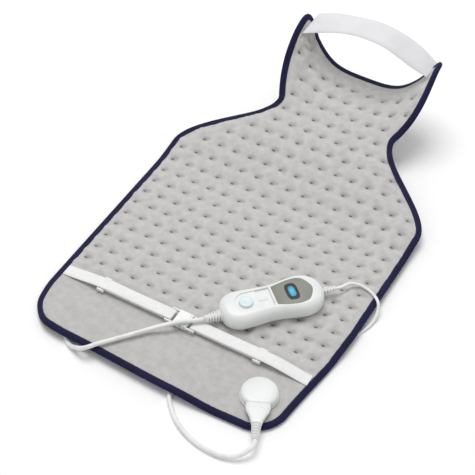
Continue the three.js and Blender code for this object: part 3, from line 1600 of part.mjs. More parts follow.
function plugReliefGeometry() {
  const relief = reliefGeometry(0, plugReliefLength, plugReliefRadius, plugReliefEndRadius, plugReliefRibs);
  relief.rotateZ(Math.PI);
  relief.translate(plugReliefLength, 0, 0);
  return alongDown(relief);
}

function plugBodyGeometry() {
  const start = plugReliefLength + endGap / 2;
  const end = start + plugLength;
  const sections = [
    ...plugShoulder.map(([run, wide, high]) => [start + run, wide, high]),
    [end - plugEdgeRun, plugWidth / 2, plugThickness / 2],
    [end, plugWidth / 2 - plugEdge, plugThickness / 2 - plugEdge],
  ];
  const body = loft(sections.map(([x, wide, high]) => roundedSection(x, wide, high, 0, 16)));
  const bores = [-1, 1].map((side) => rod(
    plugPinRadius + seatGap, end - plugPinSeat, end + overrun, (side * plugPinSpacing) / 2, 0));
  return alongDown(cut(body, ...bores));
}

function plugPinGeometry(side) {
  const from = plugReliefLength + plugLength - plugPinSeat + 2 * seatGap;
  const to = plugReliefLength + plugLength + plugPinLength;
  const profile = [[from, 0], [from, plugPinRadius], [to - plugPinTip, plugPinRadius], [to, plugPinRadius / 2], [to, 0]];
  const pin = turnedAlongX(profile, 12);
  pin.translate(0, (side * plugPinSpacing) / 2, 0);
  return alongDown(pin);
}

const terminalHalf = 4;
const terminalHeight = 6;
const leadTerminalLength = 3.6;
const mainsTerminalLength = 7;
const triacHeight = 9;
const fuseHeight = 5;

// Parts on the circuit board, as boxes [name, low corner, high corner, colour]
const boardParts = [
  ['circuit_board', [boardStartX, -boardHalfWidth, boardLow], [boardEndX, boardHalfWidth, boardHigh], 'board'],
  ['lcd_module', [20, -11, boardHigh], [37, 11, frameLow - 2 * seatGap], 'steel'],
  ['switch_body', [switchStartX, -switchHalfWidth, boardHigh],
    [switchEndX, switchHalfWidth, boardHigh + switchHeight], 'dark'],
  ['power_triac', [-8, 6, boardHigh], [2, 10.5, boardHigh + triacHeight], 'dark'],
  ['board_fuse', [-12, -12, boardHigh], [6, -6.5, boardHigh + fuseHeight], 'webbing'],
  ['lead_terminals', [boardStartX, -terminalHalf, boardHigh],
    [boardStartX + leadTerminalLength, terminalHalf, boardHigh + terminalHeight], 'brass'],
  ['mains_terminals', [boardEndX - mainsTerminalLength, -terminalHalf, boardHigh],
    [boardEndX, terminalHalf, boardHigh + terminalHeight], 'brass'],
];

// The pieces, placed

const plushFinish = finish('plush', 0.95);
const whiteFinish = finish('plastic', 0.35);
const reliefFinish = finish('cord', 0.55);
const steelFinish = finish('steel', 0.35, 1);
const knobFinish = finish('knob', 0.3);
const brassFinish = finish('brass', 0.35, 1);
const boardPartFinish = finish('dark', 0.6);
const webbingFinish = finish('webbing', 0.85);
const buckleFinish = finish('buckle', 0.4);

function frontCoverGeometry() {
  const holes = rivetHoles(coverUnderside - overrun, overrun);
  socketGroup.updateMatrix();
  return cut(
    coverSheet(coverBottom, coverTop, tuftDepth),
    ...holes.map((hole) => hole.applyMatrix4(socketGroup.matrix)),
  );
}

addPart('front_cover', frontCoverGeometry(), plushFinish);
addPart('back_cover', coverSheet(0, backCoverThickness, 0), finish('backing', 0.9));
addPart('edge_binding', bindingGeometry(), finish('navy', 0.8));
addPart('heating_wire',
  padWire(heatingWirePlaces(socketX, socketY), backCoverThickness + wireLayerHeight / 2, wireDiameter),
  finish('red', 0.6));
addPart('thermal_cutout', cutoutGeometry(), finish('dark', 0.6));
addPart('neck_patch', neckPatchGeometry(), finish('patch', 0.8));
addPart('neck_strap', neckStrapGeometry(), finish('strap', 0.85));
addPart('waist_strap_left', waistStrapGeometry(-1, leftSliderX, leftBarX), webbingFinish);
addPart('waist_strap_right', waistStrapGeometry(1, rightSliderX, rightBarX), webbingFinish);
addPart('strap_slider_left', sliderGeometry(leftSliderX), buckleFinish);
addPart('strap_slider_right', sliderGeometry(rightSliderX), buckleFinish);
addPart('buckle_socket', buckleSocketGeometry(), buckleFinish);
addPart('buckle_clip', buckleClipGeometry(), buckleFinish);

addPart('socket_base', socketBaseGeometry(), whiteFinish, socketGroup);
addPart('socket_cover', socketCoverGeometry(), whiteFinish, socketGroup);
addPart('connector_lower_shell', connectorShell(false), whiteFinish, socketGroup);
addPart('connector_upper_shell', connectorShell(true), whiteFinish, socketGroup);
addPart('connector_strain_relief', (() => {
  const relief = reliefGeometry(
    connectorEndX + endGap, connectorEndX + connectorReliefLength,
    connectorReliefRadius, connectorReliefEndRadius, connectorReliefRibs,
  );
  relief.translate(0, 0, connectorZ);
  return relief;
})(), reliefFinish, socketGroup);
[['left', -1], ['right', 1]].forEach(([name, side]) => {
  const y = (side * pinSpacing) / 2;
  addPart(`socket_pin_${name}`, rod(pinRadius, pinStartX, pinEndX, y, pinZ), brassFinish, socketGroup);
  addPart(`connector_sleeve_${name}`,
    tubeAlongX(pinRadius + seatGap + sleeveWall, pinRadius + seatGap, sleeveStartX, sleeveEndX, y, pinZ),
    brassFinish, socketGroup);
  addPart(`socket_rivet_${name}`, rivetGeometry(side), steelFinish, socketGroup);
});
addPart('socket_backplate', backplateGeometry(), steelFinish, socketGroup);
connectorScrewPlaces.forEach((place, index) => {
  addPart(`connector_screw_${index + 1}`, connectorScrewGeometry(place), steelFinish, socketGroup);
});

addPart('handset_lower_shell', lowerShellGeometry(), whiteFinish, handsetGroup);
addPart('handset_upper_shell', upperShellGeometry(), whiteFinish, handsetGroup);
addPart('display_panel', panelGeometry(), finish('olive', 0.45), handsetGroup);
addPart('display_frame', displayFrameGeometry(), finish('black', 0.25), handsetGroup);
addPart('display_lens', lensGeometry(), finish('lcd', 0.15), handsetGroup);
addPart('switch_knob', knobGeometry(), knobFinish, handsetGroup);
addPart('switch_carriage', carriageGeometry(), boardPartFinish, handsetGroup);
addPart('switch_mark', markGeometry(), knobFinish, handsetGroup);
boardParts.forEach(([name, low, high, colour]) => {
  addPart(name, boxBetween(low, high), finish(colour, 0.6), handsetGroup);
});
screwPlaces.forEach((place, index) => {
  addPart(`handset_screw_${index + 1}`, handsetScrewGeometry(place), steelFinish, handsetGroup);
});
addPart('lead_strain_relief',
  flangedRelief(leadFlangeX, leadReliefX, leadReliefEndX, leadReliefRadius, leadReliefEndRadius, 5),
  reliefFinish, handsetGroup);
addPart('mains_strain_relief',
  flangedRelief(mainsFlangeX, mainsReliefX, mainsReliefEndX, mainsReliefRadius, mainsReliefEndRadius, 4),
  reliefFinish, handsetGroup);
addPart('lead_cord', cordGeometry(leadRoute, leadRadius), reliefFinish);
addPart('lead_loop', cordGeometry(loopRoute, leadRadius), reliefFinish);
addPart('mains_cord', cordGeometry(mainsRoute, mainsRadius), reliefFinish);
addPart('mains_coil', woundTube(coilLine, mainsRadius, coilSides), reliefFinish);
addPart('cord_tie', tieGeometry(), boardPartFinish);
addPart('mains_plug_relief', plugReliefGeometry(), reliefFinish);
addPart('mains_plug_body', plugBodyGeometry(), reliefFinish);
addPart('mains_plug_pin_left', plugPinGeometry(-1), brassFinish);
addPart('mains_plug_pin_right', plugPinGeometry(1), brassFinish);

// The origin lies under the middle of the whole object, whose neck strap reaches past the pad
const product = new THREE.Group();
part.position.y = -(neckStrapY + neckStrapWidth / 2 - padLength / 2) / 2;
product.add(part);

export default product;
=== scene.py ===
# %% [markdown]
# A heating pad for the back and neck, laid out flat with its neck end lifted.
# The soft parts are made here in full: the tufted plush pad, its navy binding, the
# straps and the cords. The hard parts are moulded housings with worked details.
# The frame gives every rigid part's place, so all pieces are made where they belong.

# %% Load the frame
import bpy
import bmesh
import random
from math import copysign, cos, exp, pi, radians, sin
import numpy as np
from mathutils import Matrix, Vector, noise


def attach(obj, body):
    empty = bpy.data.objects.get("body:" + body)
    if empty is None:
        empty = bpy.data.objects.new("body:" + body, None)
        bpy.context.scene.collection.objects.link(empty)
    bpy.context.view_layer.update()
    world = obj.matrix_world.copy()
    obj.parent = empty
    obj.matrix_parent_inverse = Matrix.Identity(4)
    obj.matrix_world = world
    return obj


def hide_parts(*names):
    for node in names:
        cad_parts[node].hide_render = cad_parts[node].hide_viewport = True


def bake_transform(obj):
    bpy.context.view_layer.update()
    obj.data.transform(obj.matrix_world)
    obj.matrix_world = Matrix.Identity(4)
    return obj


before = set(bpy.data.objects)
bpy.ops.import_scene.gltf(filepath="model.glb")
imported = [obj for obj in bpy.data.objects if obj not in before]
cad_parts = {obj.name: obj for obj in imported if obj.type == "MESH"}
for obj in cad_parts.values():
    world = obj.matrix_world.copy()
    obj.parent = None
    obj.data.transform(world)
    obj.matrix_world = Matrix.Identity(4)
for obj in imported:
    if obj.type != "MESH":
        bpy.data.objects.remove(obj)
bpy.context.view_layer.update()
scene = bpy.context.scene

# %% [markdown]
# All sizes are in millimetres on the pad, as a maker would measure them, and one
# function turns a place on the pad into Blender's metres. The pad's own middle lies
# 4.5 mm in front of the origin, because the neck strap reaches past the pad.

# %% Places on the pad
MM = 0.001
PAD_SHIFT = -4.5


def pad_place(x, y, z):
    return Vector((x * MM, (y + PAD_SHIFT) * MM, z * MM))


# %% [markdown]
# The camera stands high in front of the pad, a little to its right, and looks down at
# it with a long lens, which keeps the far neck end nearly as large as the near corner.

# %% Camera
camera_data = bpy.data.cameras.new("camera")
camera = bpy.data.objects.new("camera", camera_data)
scene.collection.objects.link(camera)
camera_data.lens, camera_data.sensor_width = 108.96, 36
camera_data.clip_start, camera_data.clip_end = 0.05, 60
CAMERA_PLACE = (0.6524, -1.3285, 1.5183)
right_way = Vector((0.86933681, 0.49339996, 0.02846025))
down_way = Vector((0.37405809, -0.61924243, -0.69037625))
ahead = Vector((-0.32300782, 0.61081527, -0.72289048))
turn = Matrix((right_way, -down_way, -ahead)).transposed().to_4x4()
camera.matrix_world = Matrix.Translation(CAMERA_PLACE) @ turn
scene.camera = camera
print("camera at", tuple(round(value, 3) for value in camera.location))

# %% [markdown]
# A material starts from what the real thing is made of. Colours are written as on a
# screen, in hex, and one function turns them into the linear values that Blender's
# shaders expect. A second small function adds a node with its settings and links.

# %% Colour and node helpers


def linear(hex_colour):
    """Undoes the sRGB curve of a screen's colours."""
    values = []
    for start in (0, 2, 4):
        share = int(hex_colour[start:start + 2], 16) / 255
        values.append(share / 12.92 if share <= 0.04045 else ((share + 0.055) / 1.055) ** 2.4)
    return (*values, 1.0)


def new_material(name, hex_colour, roughness, **sockets):
    material = bpy.data.materials.new(name)
    material.use_nodes = True
    shader = material.node_tree.nodes["Principled BSDF"]
    shader.inputs["Base Color"].default_value = linear(hex_colour)
    shader.inputs["Roughness"].default_value = roughness
    for socket, value in sockets.items():
        shader.inputs[socket.replace("_", " ")].default_value = value
    return material


def add_node(material, kind, inputs=(), **settings):
    """inputs pairs an input's name or number with the socket that feeds it or its value."""
    node = material.node_tree.nodes.new("ShaderNode" + kind)
    for key, value in settings.items():
        if hasattr(node, key):
            setattr(node, key, value)
        else:
            node.inputs[key.replace("_", " ")].default_value = value
    for place, source in inputs:
        if isinstance(source, bpy.types.NodeSocket):
            material.node_tree.links.new(source, node.inputs[place])
        else:
            node.inputs[place].default_value = source
    return node


def plug_in(material, socket, output):
    material.node_tree.links.new(output, material.node_tree.nodes["Principled BSDF"].inputs[socket])


# %% [markdown]
# Most finishes need the same three things: a fine relief, a slow change of colour and
# a slow change of gloss. Each pattern's scale comes from a real size in millimetres:
# Blender's noise repeats about once per unit, so a scale of 1000 / size is one bump
# for each such size on a part that is measured in metres. A finish without a pattern of
# its own is these three together: the relief of its skin, and the fleck that moves its
# colour and its gloss. Where no fleck is given, the skin's own grain moves the colour.

# %% Relief, tone and gloss


def grain(material, size_mm, detail):
    place = add_node(material, "TexCoord").outputs["Object"]
    return add_node(material, "TexNoise", [("Vector", place)], Scale=1000 / size_mm,
                    Detail=detail).outputs["Fac"]


def relief(material, height, depth_mm, strength, below=None):
    inputs = [("Height", height)] + ([("Normal", below)] if below else [])
    bump = add_node(material, "Bump", inputs, Strength=strength, Distance=depth_mm * MM)
    plug_in(material, "Normal", bump.outputs["Normal"])
    return bump.outputs["Normal"]


def tone(material, factor, dark_hex, light_hex, low=0.35, high=0.65):
    ramp = add_node(material, "ValToRGB", [("Fac", factor)])
    for stop, place, colour in zip(ramp.color_ramp.elements, (low, high), (dark_hex, light_hex)):
        stop.position, stop.color = place, linear(colour)
    plug_in(material, "Base Color", ramp.outputs["Color"])
    return ramp.outputs["Color"]


def gloss_change(material, factor, low, high):
    spread = add_node(material, "MapRange", [("Value", factor)], To_Min=low, To_Max=high)
    plug_in(material, "Roughness", spread.outputs["Result"])


def wave_scale(spacing_mm):
    return 1000 / (spacing_mm * 2 * pi)


def woven_ribs(material, direction, spacing_mm, distortion):
    """Ribs that follow the piece's own UV map, across it or along it."""
    weave = add_node(material, "UVMap", uv_map="weave").outputs["UV"]
    return add_node(material, "TexWave", [("Vector", weave)], bands_direction=direction,
                    Scale=wave_scale(spacing_mm), Distortion=distortion).outputs["Fac"]


def finished(name, hex_colour, roughness, tones, skin=None, fleck=None, gloss=None, **sockets):
    """skin is size, detail, depth and strength of the relief; fleck is size and detail."""
    material = new_material(name, hex_colour, roughness, **sockets)
    if skin:
        fine = grain(material, *skin[:2])
        relief(material, fine, *skin[2:])
    slow = grain(material, *fleck) if fleck else fine
    tone(material, slow, *tones)
    if gloss:
        gloss_change(material, slow, *gloss)
    return material


# %% [markdown]
# Soft PVC covers both cords and is moulded into their strain reliefs. It is extruded
# hot, so it has a satin skin with a faint drag along its length and picks up grey
# dust. Its white is a little warmer than that of the hard housings.

# %% Soft PVC for the cords
pvc = finished("soft_pvc_jacket", "EDEFEC", 0.42, ("E3E5E2", "F1F2F0"), (1.2, 2, 0.03, 0.35),
               (14, 3), (0.36, 0.5), Specular_IOR_Level=0.5)

# %% [markdown]
# One helper makes every woven strip and every tube: bmesh makes a flat grid, and each
# of its points is then moved to where the piece has it. Where the grid's sides meet,
# the doubles are merged, which closes the tube. Open ends are filled. A curve with a
# bevel would make a round tube too, but a grid also takes a pinched or a flat section,
# and its UV map counts real lengths for the weave. Another helper says which body a
# piece moves with and the frame's solids it stands for.

# %% A grid wrapped into a shape


def to_object(bm, name, material, smooth=True):
    bmesh.ops.recalc_face_normals(bm, faces=bm.faces)
    mesh = bpy.data.meshes.new(name)
    bm.to_mesh(mesh)
    bm.free()
    mesh.materials.append(material)
    mesh.polygons.foreach_set("use_smooth", [smooth] * len(mesh.polygons))
    made = bpy.data.objects.new(name, mesh)
    scene.collection.objects.link(made)
    return made


def belongs(piece, body, slot, *nodes):
    if nodes:
        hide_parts(*nodes)
    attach(piece, body)
    return piece


def wrapped_grid(name, material, steps_round, steps_along, place_of, uv_of=None, fill_ends=True):
    """place_of(round, along) gives a point, and both run from 0 to 1."""
    bm = bmesh.new()
    grid = bmesh.ops.create_grid(bm, x_segments=steps_round, y_segments=steps_along, size=0.5)
    points = grid["verts"]
    shares = {point: (point.co.x + 0.5, point.co.y + 0.5) for point in points}
    if uv_of:
        layer = bm.loops.layers.uv.new("weave")
        for face in bm.faces:
            for corner in face.loops:
                corner[layer].uv = uv_of(*shares[corner.vert])
    for point, (around, along) in shares.items():
        point.co = place_of(around, along)
    bmesh.ops.remove_doubles(bm, verts=points, dist=1e-6)
    if fill_ends:
        bmesh.ops.holes_fill(bm, edges=[edge for edge in bm.edges if edge.is_boundary], sides=0)
    return to_object(bm, name, material)


# %% [markdown]
# A cord follows a smooth line through a few places. Catmull-Rom is a curve that passes
# through all its points, and its centripetal form makes no loops where two points are
# close. The line is then cut into even steps, so the tube's faces keep one length.

# %% Smooth lines
STEPS_BETWEEN = 24


def smooth_line(places, step_mm, closed=False):
    points = [np.array(place, float) for place in places]
    if closed:
        points = [points[-1], *points, points[0], points[1]]
    else:
        points = [2 * points[0] - points[1], *points, 2 * points[-1] - points[-2]]
    line = []
    for a, b, c, d in zip(points, points[1:], points[2:], points[3:]):
        t0 = 0.0
        t1 = t0 + np.linalg.norm(b - a) ** 0.5
        t2 = t1 + np.linalg.norm(c - b) ** 0.5
        t3 = t2 + np.linalg.norm(d - c) ** 0.5
        for t in np.linspace(t1, t2, STEPS_BETWEEN, endpoint=False):
            ab = (t1 - t) / (t1 - t0) * a + (t - t0) / (t1 - t0) * b
            bc = (t2 - t) / (t2 - t1) * b + (t - t1) / (t2 - t1) * c
            cd = (t3 - t) / (t3 - t2) * c + (t - t2) / (t3 - t2) * d
            low = (t2 - t) / (t2 - t0) * ab + (t - t0) / (t2 - t0) * bc
            high = (t3 - t) / (t3 - t1) * bc + (t - t1) / (t3 - t1) * cd
            line.append((t2 - t) / (t2 - t1) * low + (t - t1) / (t2 - t1) * high)
    line.append(points[-2])
    line = np.array(line)
    lengths = lengths_along(line)
    count = max(3, round(lengths[-1] / step_mm))
    even = np.linspace(0, lengths[-1], count + 1)
    return np.column_stack([np.interp(even, lengths, values) for values in line.T])


def lengths_along(line):
    return np.concatenate([[0], np.cumsum(np.linalg.norm(np.diff(line, axis=0), axis=1))])


def line_length(line):
    return float(lengths_along(line)[-1])


def ways_across(closed_line):
    """For each point of a closed flat line, the way square to it, outward."""
    way = np.roll(closed_line, -1, axis=0) - np.roll(closed_line, 1, axis=0)
    way /= np.linalg.norm(way, axis=1)[:, None]
    return np.column_stack([way[:, 1], -way[:, 0]])


# %% [markdown]
# The tube itself: at each step of its line a ring of points stands square to the way
# it runs. The lead to the pad is round. The mains cord is a flat twin, with a shallow
# groove where its two cores are joined, so its ring is pinched at the top and bottom.

# %% Cord tubes


def line_frame(line, index):
    before, after = line[max(index - 1, 0)], line[min(index + 1, len(line) - 1)]
    way = Vector(after - before).normalized()
    side = way.cross(Vector((0, 0, 1))).normalized()
    return Vector(line[index]), side, side.cross(way)


def cord_tube(name, line, ring_of, sides=14):
    frames = [line_frame(line, index) for index in range(len(line))]

    def place_of(around, along):
        centre, side, over = frames[round(along * (len(line) - 1))]
        wide, high = ring_of(2 * pi * around)
        return pad_place(*(centre + side * wide + over * high))

    length = line_length(line) * MM
    return wrapped_grid(name, pvc, sides, len(line) - 1, place_of,
                        lambda around, along: (around, along * length))


def round_ring(radius):
    return lambda turn: (radius * cos(turn), radius * sin(turn))


def twin_ring(radius):
    def ring(turn):
        pinch = 1 - 0.22 * abs(sin(turn)) ** 6
        return radius * cos(turn), radius * 0.86 * sin(turn) * pinch
    return ring


# %% [markdown]
# The lead leaves the handset's left end, lies over the buckle and the bottom binding,
# bends back under the pad and comes out again in the loop that ends in the connector.
# The loop is a cord of its own here, because its far end moves with the connector while
# its near end stays at the lead. Its hidden stretch under the pad is as short as the
# bends allow.

# %% Lead and loop
LEAD_RADIUS, LEAD_FLOOR = 3.2, 3.3
BOTTOM_EDGE = -341.0
handset_turn, connector_turn = radians(48), radians(-65.4)
handset_origin, socket_origin = Vector((86.1, -143.0, 10.0)), Vector((144.0, -283.0, 7.0))
# Heights at which the cords leave the handset and the connector, above those origins
HANDSET_CORD, CONNECTOR_CORD = 10.8, 7.9


def turned_place(origin, turn, x, y, z):
    return origin + Vector((x * cos(turn) - y * sin(turn),
                            x * sin(turn) + y * cos(turn), z))


def on_handset(x, y, z):
    return turned_place(handset_origin, handset_turn, x, y, z)


def on_socket(x, y, z):
    return turned_place(socket_origin, connector_turn, x, y, z)


def handset_place(x, y, z):
    return pad_place(*on_handset(x, y, z))


pull_way = Vector((cos(connector_turn), sin(connector_turn), 0))
lead_join = Vector((38, BOTTOM_EDGE + 7, LEAD_FLOOR))
lead_places = [
    (-3, 105.5, 21), (-22, 86.5, 20.6), (-50, 52.5, 19.8), (-71, 27, 19.4), (-83, 12.2, 19.4),
    (-91, 2.8, 18), (-99, 0.5, 13.5), (-108, 1.5, 8.2), (-117, 3.4, 4.4), (-126, 8, LEAD_FLOOR),
    (-133, 17, LEAD_FLOOR), (-135, 29, LEAD_FLOOR), (-128, 40, LEAD_FLOOR), (-114, 47, LEAD_FLOOR),
    (-92, 50, LEAD_FLOOR), (-60, 48, LEAD_FLOOR), (-20, 43, LEAD_FLOOR), (12, 35, LEAD_FLOOR),
]
lead_line = smooth_line([
    on_handset(-98.3, 0, HANDSET_CORD), on_handset(-105, 0, HANDSET_CORD),
    *[(x, BOTTOM_EDGE + inward, z) for x, inward, z in lead_places],
    lead_join - pull_way * 12, lead_join - pull_way * 0.15,
], 3)
loop_places = [
    (0.15, 16, LEAD_FLOOR), (0.3, 30, LEAD_FLOOR), (0.53, 42.5, LEAD_FLOOR),
    (0.77, 48.5, LEAD_FLOOR), (1.04, 48, 4), (1.21, 40, 6.8), (1.3, 28, 11.5),
]
loop_line = smooth_line([
    lead_join + pull_way * 0.15, lead_join + pull_way * 12,
    *[(lead_join.x + share * (socket_origin.x - lead_join.x), BOTTOM_EDGE - outward, z)
      for share, outward, z in loop_places],
    on_socket(82.8, 0, 7.5), on_socket(76.1, 0, CONNECTOR_CORD),
], 3)
lead = cord_tube("lead", lead_line, round_ring(LEAD_RADIUS))
loop = cord_tube("connector_loop", loop_line, round_ring(LEAD_RADIUS))
belongs(lead, "pad", "relief", "lead_cord")
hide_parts("lead_loop")
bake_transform(loop)
print("lead", round(line_length(lead_line)), "mm, loop", round(line_length(loop_line)), "mm")

# %% [markdown]
# The mains cord leaves the handset's right end, hangs over the right binding, tucks in
# under the pad and runs up to the space below the raised neck. There its length is
# wound into a neat coil of two layers, as it would be put away, with a tie round it
# and the plug beside it. The coil lies where the camera can't see it.

# %% Mains cord and coil
MAINS_RADIUS, MAINS_FLOOR = 2.2, 2.3
RIGHT_EDGE = 210.0
PAD_WIDTH, PAD_LENGTH = 420, 682
COIL_X, COIL_Y, COIL_RADIUS, COIL_FLOOR = 20.16, 238.02, 34.0, 3.25
PLUG_TOP, PLUG_Z = COIL_Y - 33, 7.0
edge_places = [
    (47, 89.5, 20.6), (34, 94.5, 19.2), (20, 93, 18), (8, 88, 16.8), (-0.5, 81, 15), (-5, 71, 9.5),
    (-6, 58, 4), (-3, 42, MAINS_FLOOR), (4, 26, MAINS_FLOOR), (15, 17, MAINS_FLOOR),
    (26, 21, MAINS_FLOOR), (32.5, 35, MAINS_FLOOR),
]
hidden_shares = [
    (0.421, -0.059), (0.421, 0), (0.419, 0.059), (0.4, 0.114), (0.357, 0.158), (0.305, 0.194),
    (0.248, 0.227), (0.186, 0.264), (0.143, 0.302),
]
mains_line = smooth_line([
    on_handset(95.3, 0, HANDSET_CORD), on_handset(102, 0, HANDSET_CORD),
    *[(RIGHT_EDGE - inward, handset_origin.y + up, z) for inward, up, z in edge_places],
    *[(across * PAD_WIDTH, up * PAD_LENGTH, MAINS_FLOOR) for across, up in hidden_shares],
    (COIL_X + COIL_RADIUS, COIL_Y - 20, COIL_FLOOR),
    (COIL_X + COIL_RADIUS, COIL_Y - 4.7, COIL_FLOOR),
], 2.5)


COIL_TURNS, LAYER_TURNS, INWARD_TURNS, STEPS_A_TURN = 6.5, 3, 3.5, 24
TURN_PITCH, LAYER_HEIGHT, CLIMB_INSET = 5.0, 4.9, 1.8


def coil_line():
    """Three turns inward on the floor, a climb of half a turn, and three turns outward."""
    places = [(COIL_X + COIL_RADIUS, COIL_Y - 4.4, COIL_FLOOR)]
    for step in range(round(COIL_TURNS * STEPS_A_TURN) + 1):
        turns = step / STEPS_A_TURN
        climb = min(max((turns - LAYER_TURNS) / (INWARD_TURNS - LAYER_TURNS), 0), 1)
        inner_turns = INWARD_TURNS - abs(turns - INWARD_TURNS)
        radius = COIL_RADIUS - TURN_PITCH * inner_turns - CLIMB_INSET * sin(pi * climb)
        places.append((COIL_X + radius * cos(2 * pi * turns),
                       COIL_Y + radius * sin(2 * pi * turns),
                       COIL_FLOOR + LAYER_HEIGHT * climb * climb * (3 - 2 * climb)))
    x, y, z = places[-1]
    places += [(x, y - 4.4, z), (x, (y + PLUG_TOP) / 2, (z + PLUG_Z) / 2),
               (x, PLUG_TOP + 4.4, PLUG_Z), (x, PLUG_TOP + 0.3, PLUG_Z)]
    return smooth_line(places, 4)


coil_places = coil_line()
mains = cord_tube("mains_lead", mains_line, twin_ring(MAINS_RADIUS))
coil = cord_tube("mains_lead_coil", coil_places, twin_ring(MAINS_RADIUS), sides=10)
belongs(mains, "pad", "relief", "mains_cord")
belongs(coil, "pad", "relief", "mains_coil")
print("mains", round(line_length(mains_line)), "mm, coil", round(line_length(coil_places)), "mm")

# %% [markdown]
# Each stretch begins at the strain relief or at the stretch before it.


# %% [markdown]
# The pad doesn't lie flat: its neck end is lifted and curls up at both wings, two
# soft swells lie over the cords that run under it, and both bottom corners are drawn
# in. One function gives that surface for a place across and along the flat pattern, so
# every sewn part follows the same form. The curl is a bend of a known radius, which
# begins at a stiff strip along the pad's middle.

# %% The surface the pad lies on
UNDERSIDE = 1.3
CURL_RADIUS, STRAIGHT_STRIP = 106, 25
LIFT_START, LIFT_END, LIFT, NECK_SLOPE = 23.2, 201.9, 32, 0.149


def eased(value, start, end):
    share = min(max((value - start) / (end - start), 0), 1)
    return share * share * (3 - 2 * share)


def pad_rise(x, y):
    lift = LIFT * eased(y, LIFT_START, LIFT_END) + NECK_SLOPE * max(y - LIFT_END, 0)
    over_lead = 7 * eased(x, -204, -160) * (1 - eased(x, 40, 118)) * (1 - eased(y, -284, -240))
    over_mains = 5 * eased(x, 150, 174) * eased(y, -194, -150) * (1 - eased(y, 56.3, 144.3))
    wing = 18 * eased(abs(x), 50.4, 134.4) * eased(y, 170.5, 334.9)
    return lift + over_lead + over_mains + wing


def corner_pull(x, y):
    """How far the left corner, the lower edge and the right corner are drawn inward."""
    left = (1 - eased(x, -210, -130.2)) * (1 - eased(y, BOTTOM_EDGE, -255.7))
    hem = (1 - eased(x, -149.9, 60.1)) * (1 - eased(y, BOTTOM_EDGE, -150))
    right = eased(x, 40, RIGHT_EDGE) * (1 - eased(y, BOTTOM_EDGE, -120))
    return 10 * left - 20 * right, 7 * left + 8 * hem + 4 * right


def on_pad(across, along, height):
    curl = eased(along, 176, 324) / CURL_RADIUS
    run = max(abs(across) - STRAIGHT_STRIP, 0)
    turned = curl * run
    side = 1 if across > 0 else -1
    out = sin(turned) / curl if turned > 0 else run
    up = (1 - cos(turned)) / curl if turned > 0 else 0
    pull_x, pull_y = corner_pull(across, along)
    flat = min(abs(across), STRAIGHT_STRIP)
    return pad_place(side * (flat + out) - height * sin(turned) * side + pull_x, along + pull_y,
                     UNDERSIDE + pad_rise(across, along) + up + height * cos(turned))


# %% [markdown]
# The pattern piece is bottle-shaped: a wide back, shoulders, a narrow neck and two
# wings with rounded tips beside a hollow neckline. Half of the outline is worked out
# and mirrored. Each point also gets its way outward, so the binding can follow it.

# %% The pattern's outline
HALF_WIDTH, BOTTOM, TIP_Y = 207.1, -338.1, 338.1
NECK_HALF, TIP_HALF, NECKLINE_DIP, CORNER = 98.1, 146.1, 18.5, 42.0
SHOULDER_START, NECK_START, TIP_START, TIP_INWARD = 77.7, 218.2, 300, 46


def side_half_width(y):
    share = min(max((y - NECK_START) / (TIP_Y - NECK_START), 0), 1)
    flare = share + 0.5 * share * (1 - share)
    shoulder = eased(y, SHOULDER_START, NECK_START)
    return HALF_WIDTH + (NECK_HALF - HALF_WIDTH) * shoulder + (TIP_HALF - NECK_HALF) * flare


def neckline(x):
    return TIP_Y - NECKLINE_DIP * (1 - (x / TIP_HALF) ** 2)


def half_outline():
    points = [(x, BOTTOM) for x in np.linspace(0, HALF_WIDTH - CORNER, 34)]
    for angle in np.linspace(-pi / 2, 0, 17)[1:]:
        points.append((HALF_WIDTH - CORNER + CORNER * cos(angle),
                       BOTTOM + CORNER + CORNER * sin(angle)))
    points += [(side_half_width(y), y) for y in np.linspace(BOTTOM + CORNER, TIP_START, 122)[1:]]
    start, corner = np.array(points[-1]), np.array((TIP_HALF + 4, TIP_Y + 16))
    end = np.array((TIP_HALF - TIP_INWARD, neckline(TIP_HALF - TIP_INWARD)))
    for share in np.linspace(0, 1, 13)[1:]:
        bend = (1 - share) ** 2 * start + 2 * share * (1 - share) * corner + share ** 2 * end
        points.append(tuple(bend))
    return points + [(x, neckline(x)) for x in np.linspace(TIP_HALF - TIP_INWARD, 0, 26)[1:]]


right_half = half_outline()
outline = np.array(right_half + [(-x, y) for x, y in right_half[-2:0:-1]])
outline = smooth_line(outline, 5, closed=True)[:-1]
outward = ways_across(outline)
print("outline of", len(outline), "points,", round(line_length(outline)), "mm round")


def edge_distance(points):
    """How far each point lies inside the outline; outside it is below zero."""
    start, end = outline, np.roll(outline, -1, axis=0)
    way = end - start
    result = np.full(len(points), 1e9)
    inside = np.zeros(len(points), bool)
    for a, b, w in zip(start, end, way):
        share = np.clip(((points - a) @ w) / (w @ w), 0, 1)
        result = np.minimum(result, np.linalg.norm(points - (a + share[:, None] * w), axis=1))
        crosses = (a[1] > points[:, 1]) != (b[1] > points[:, 1])
        if abs(w[1]) > 1e-9:
            inside ^= crosses & (points[:, 0] < a[0] + w[0] * (points[:, 1] - a[1]) / w[1])
    return np.where(inside, result, -result)
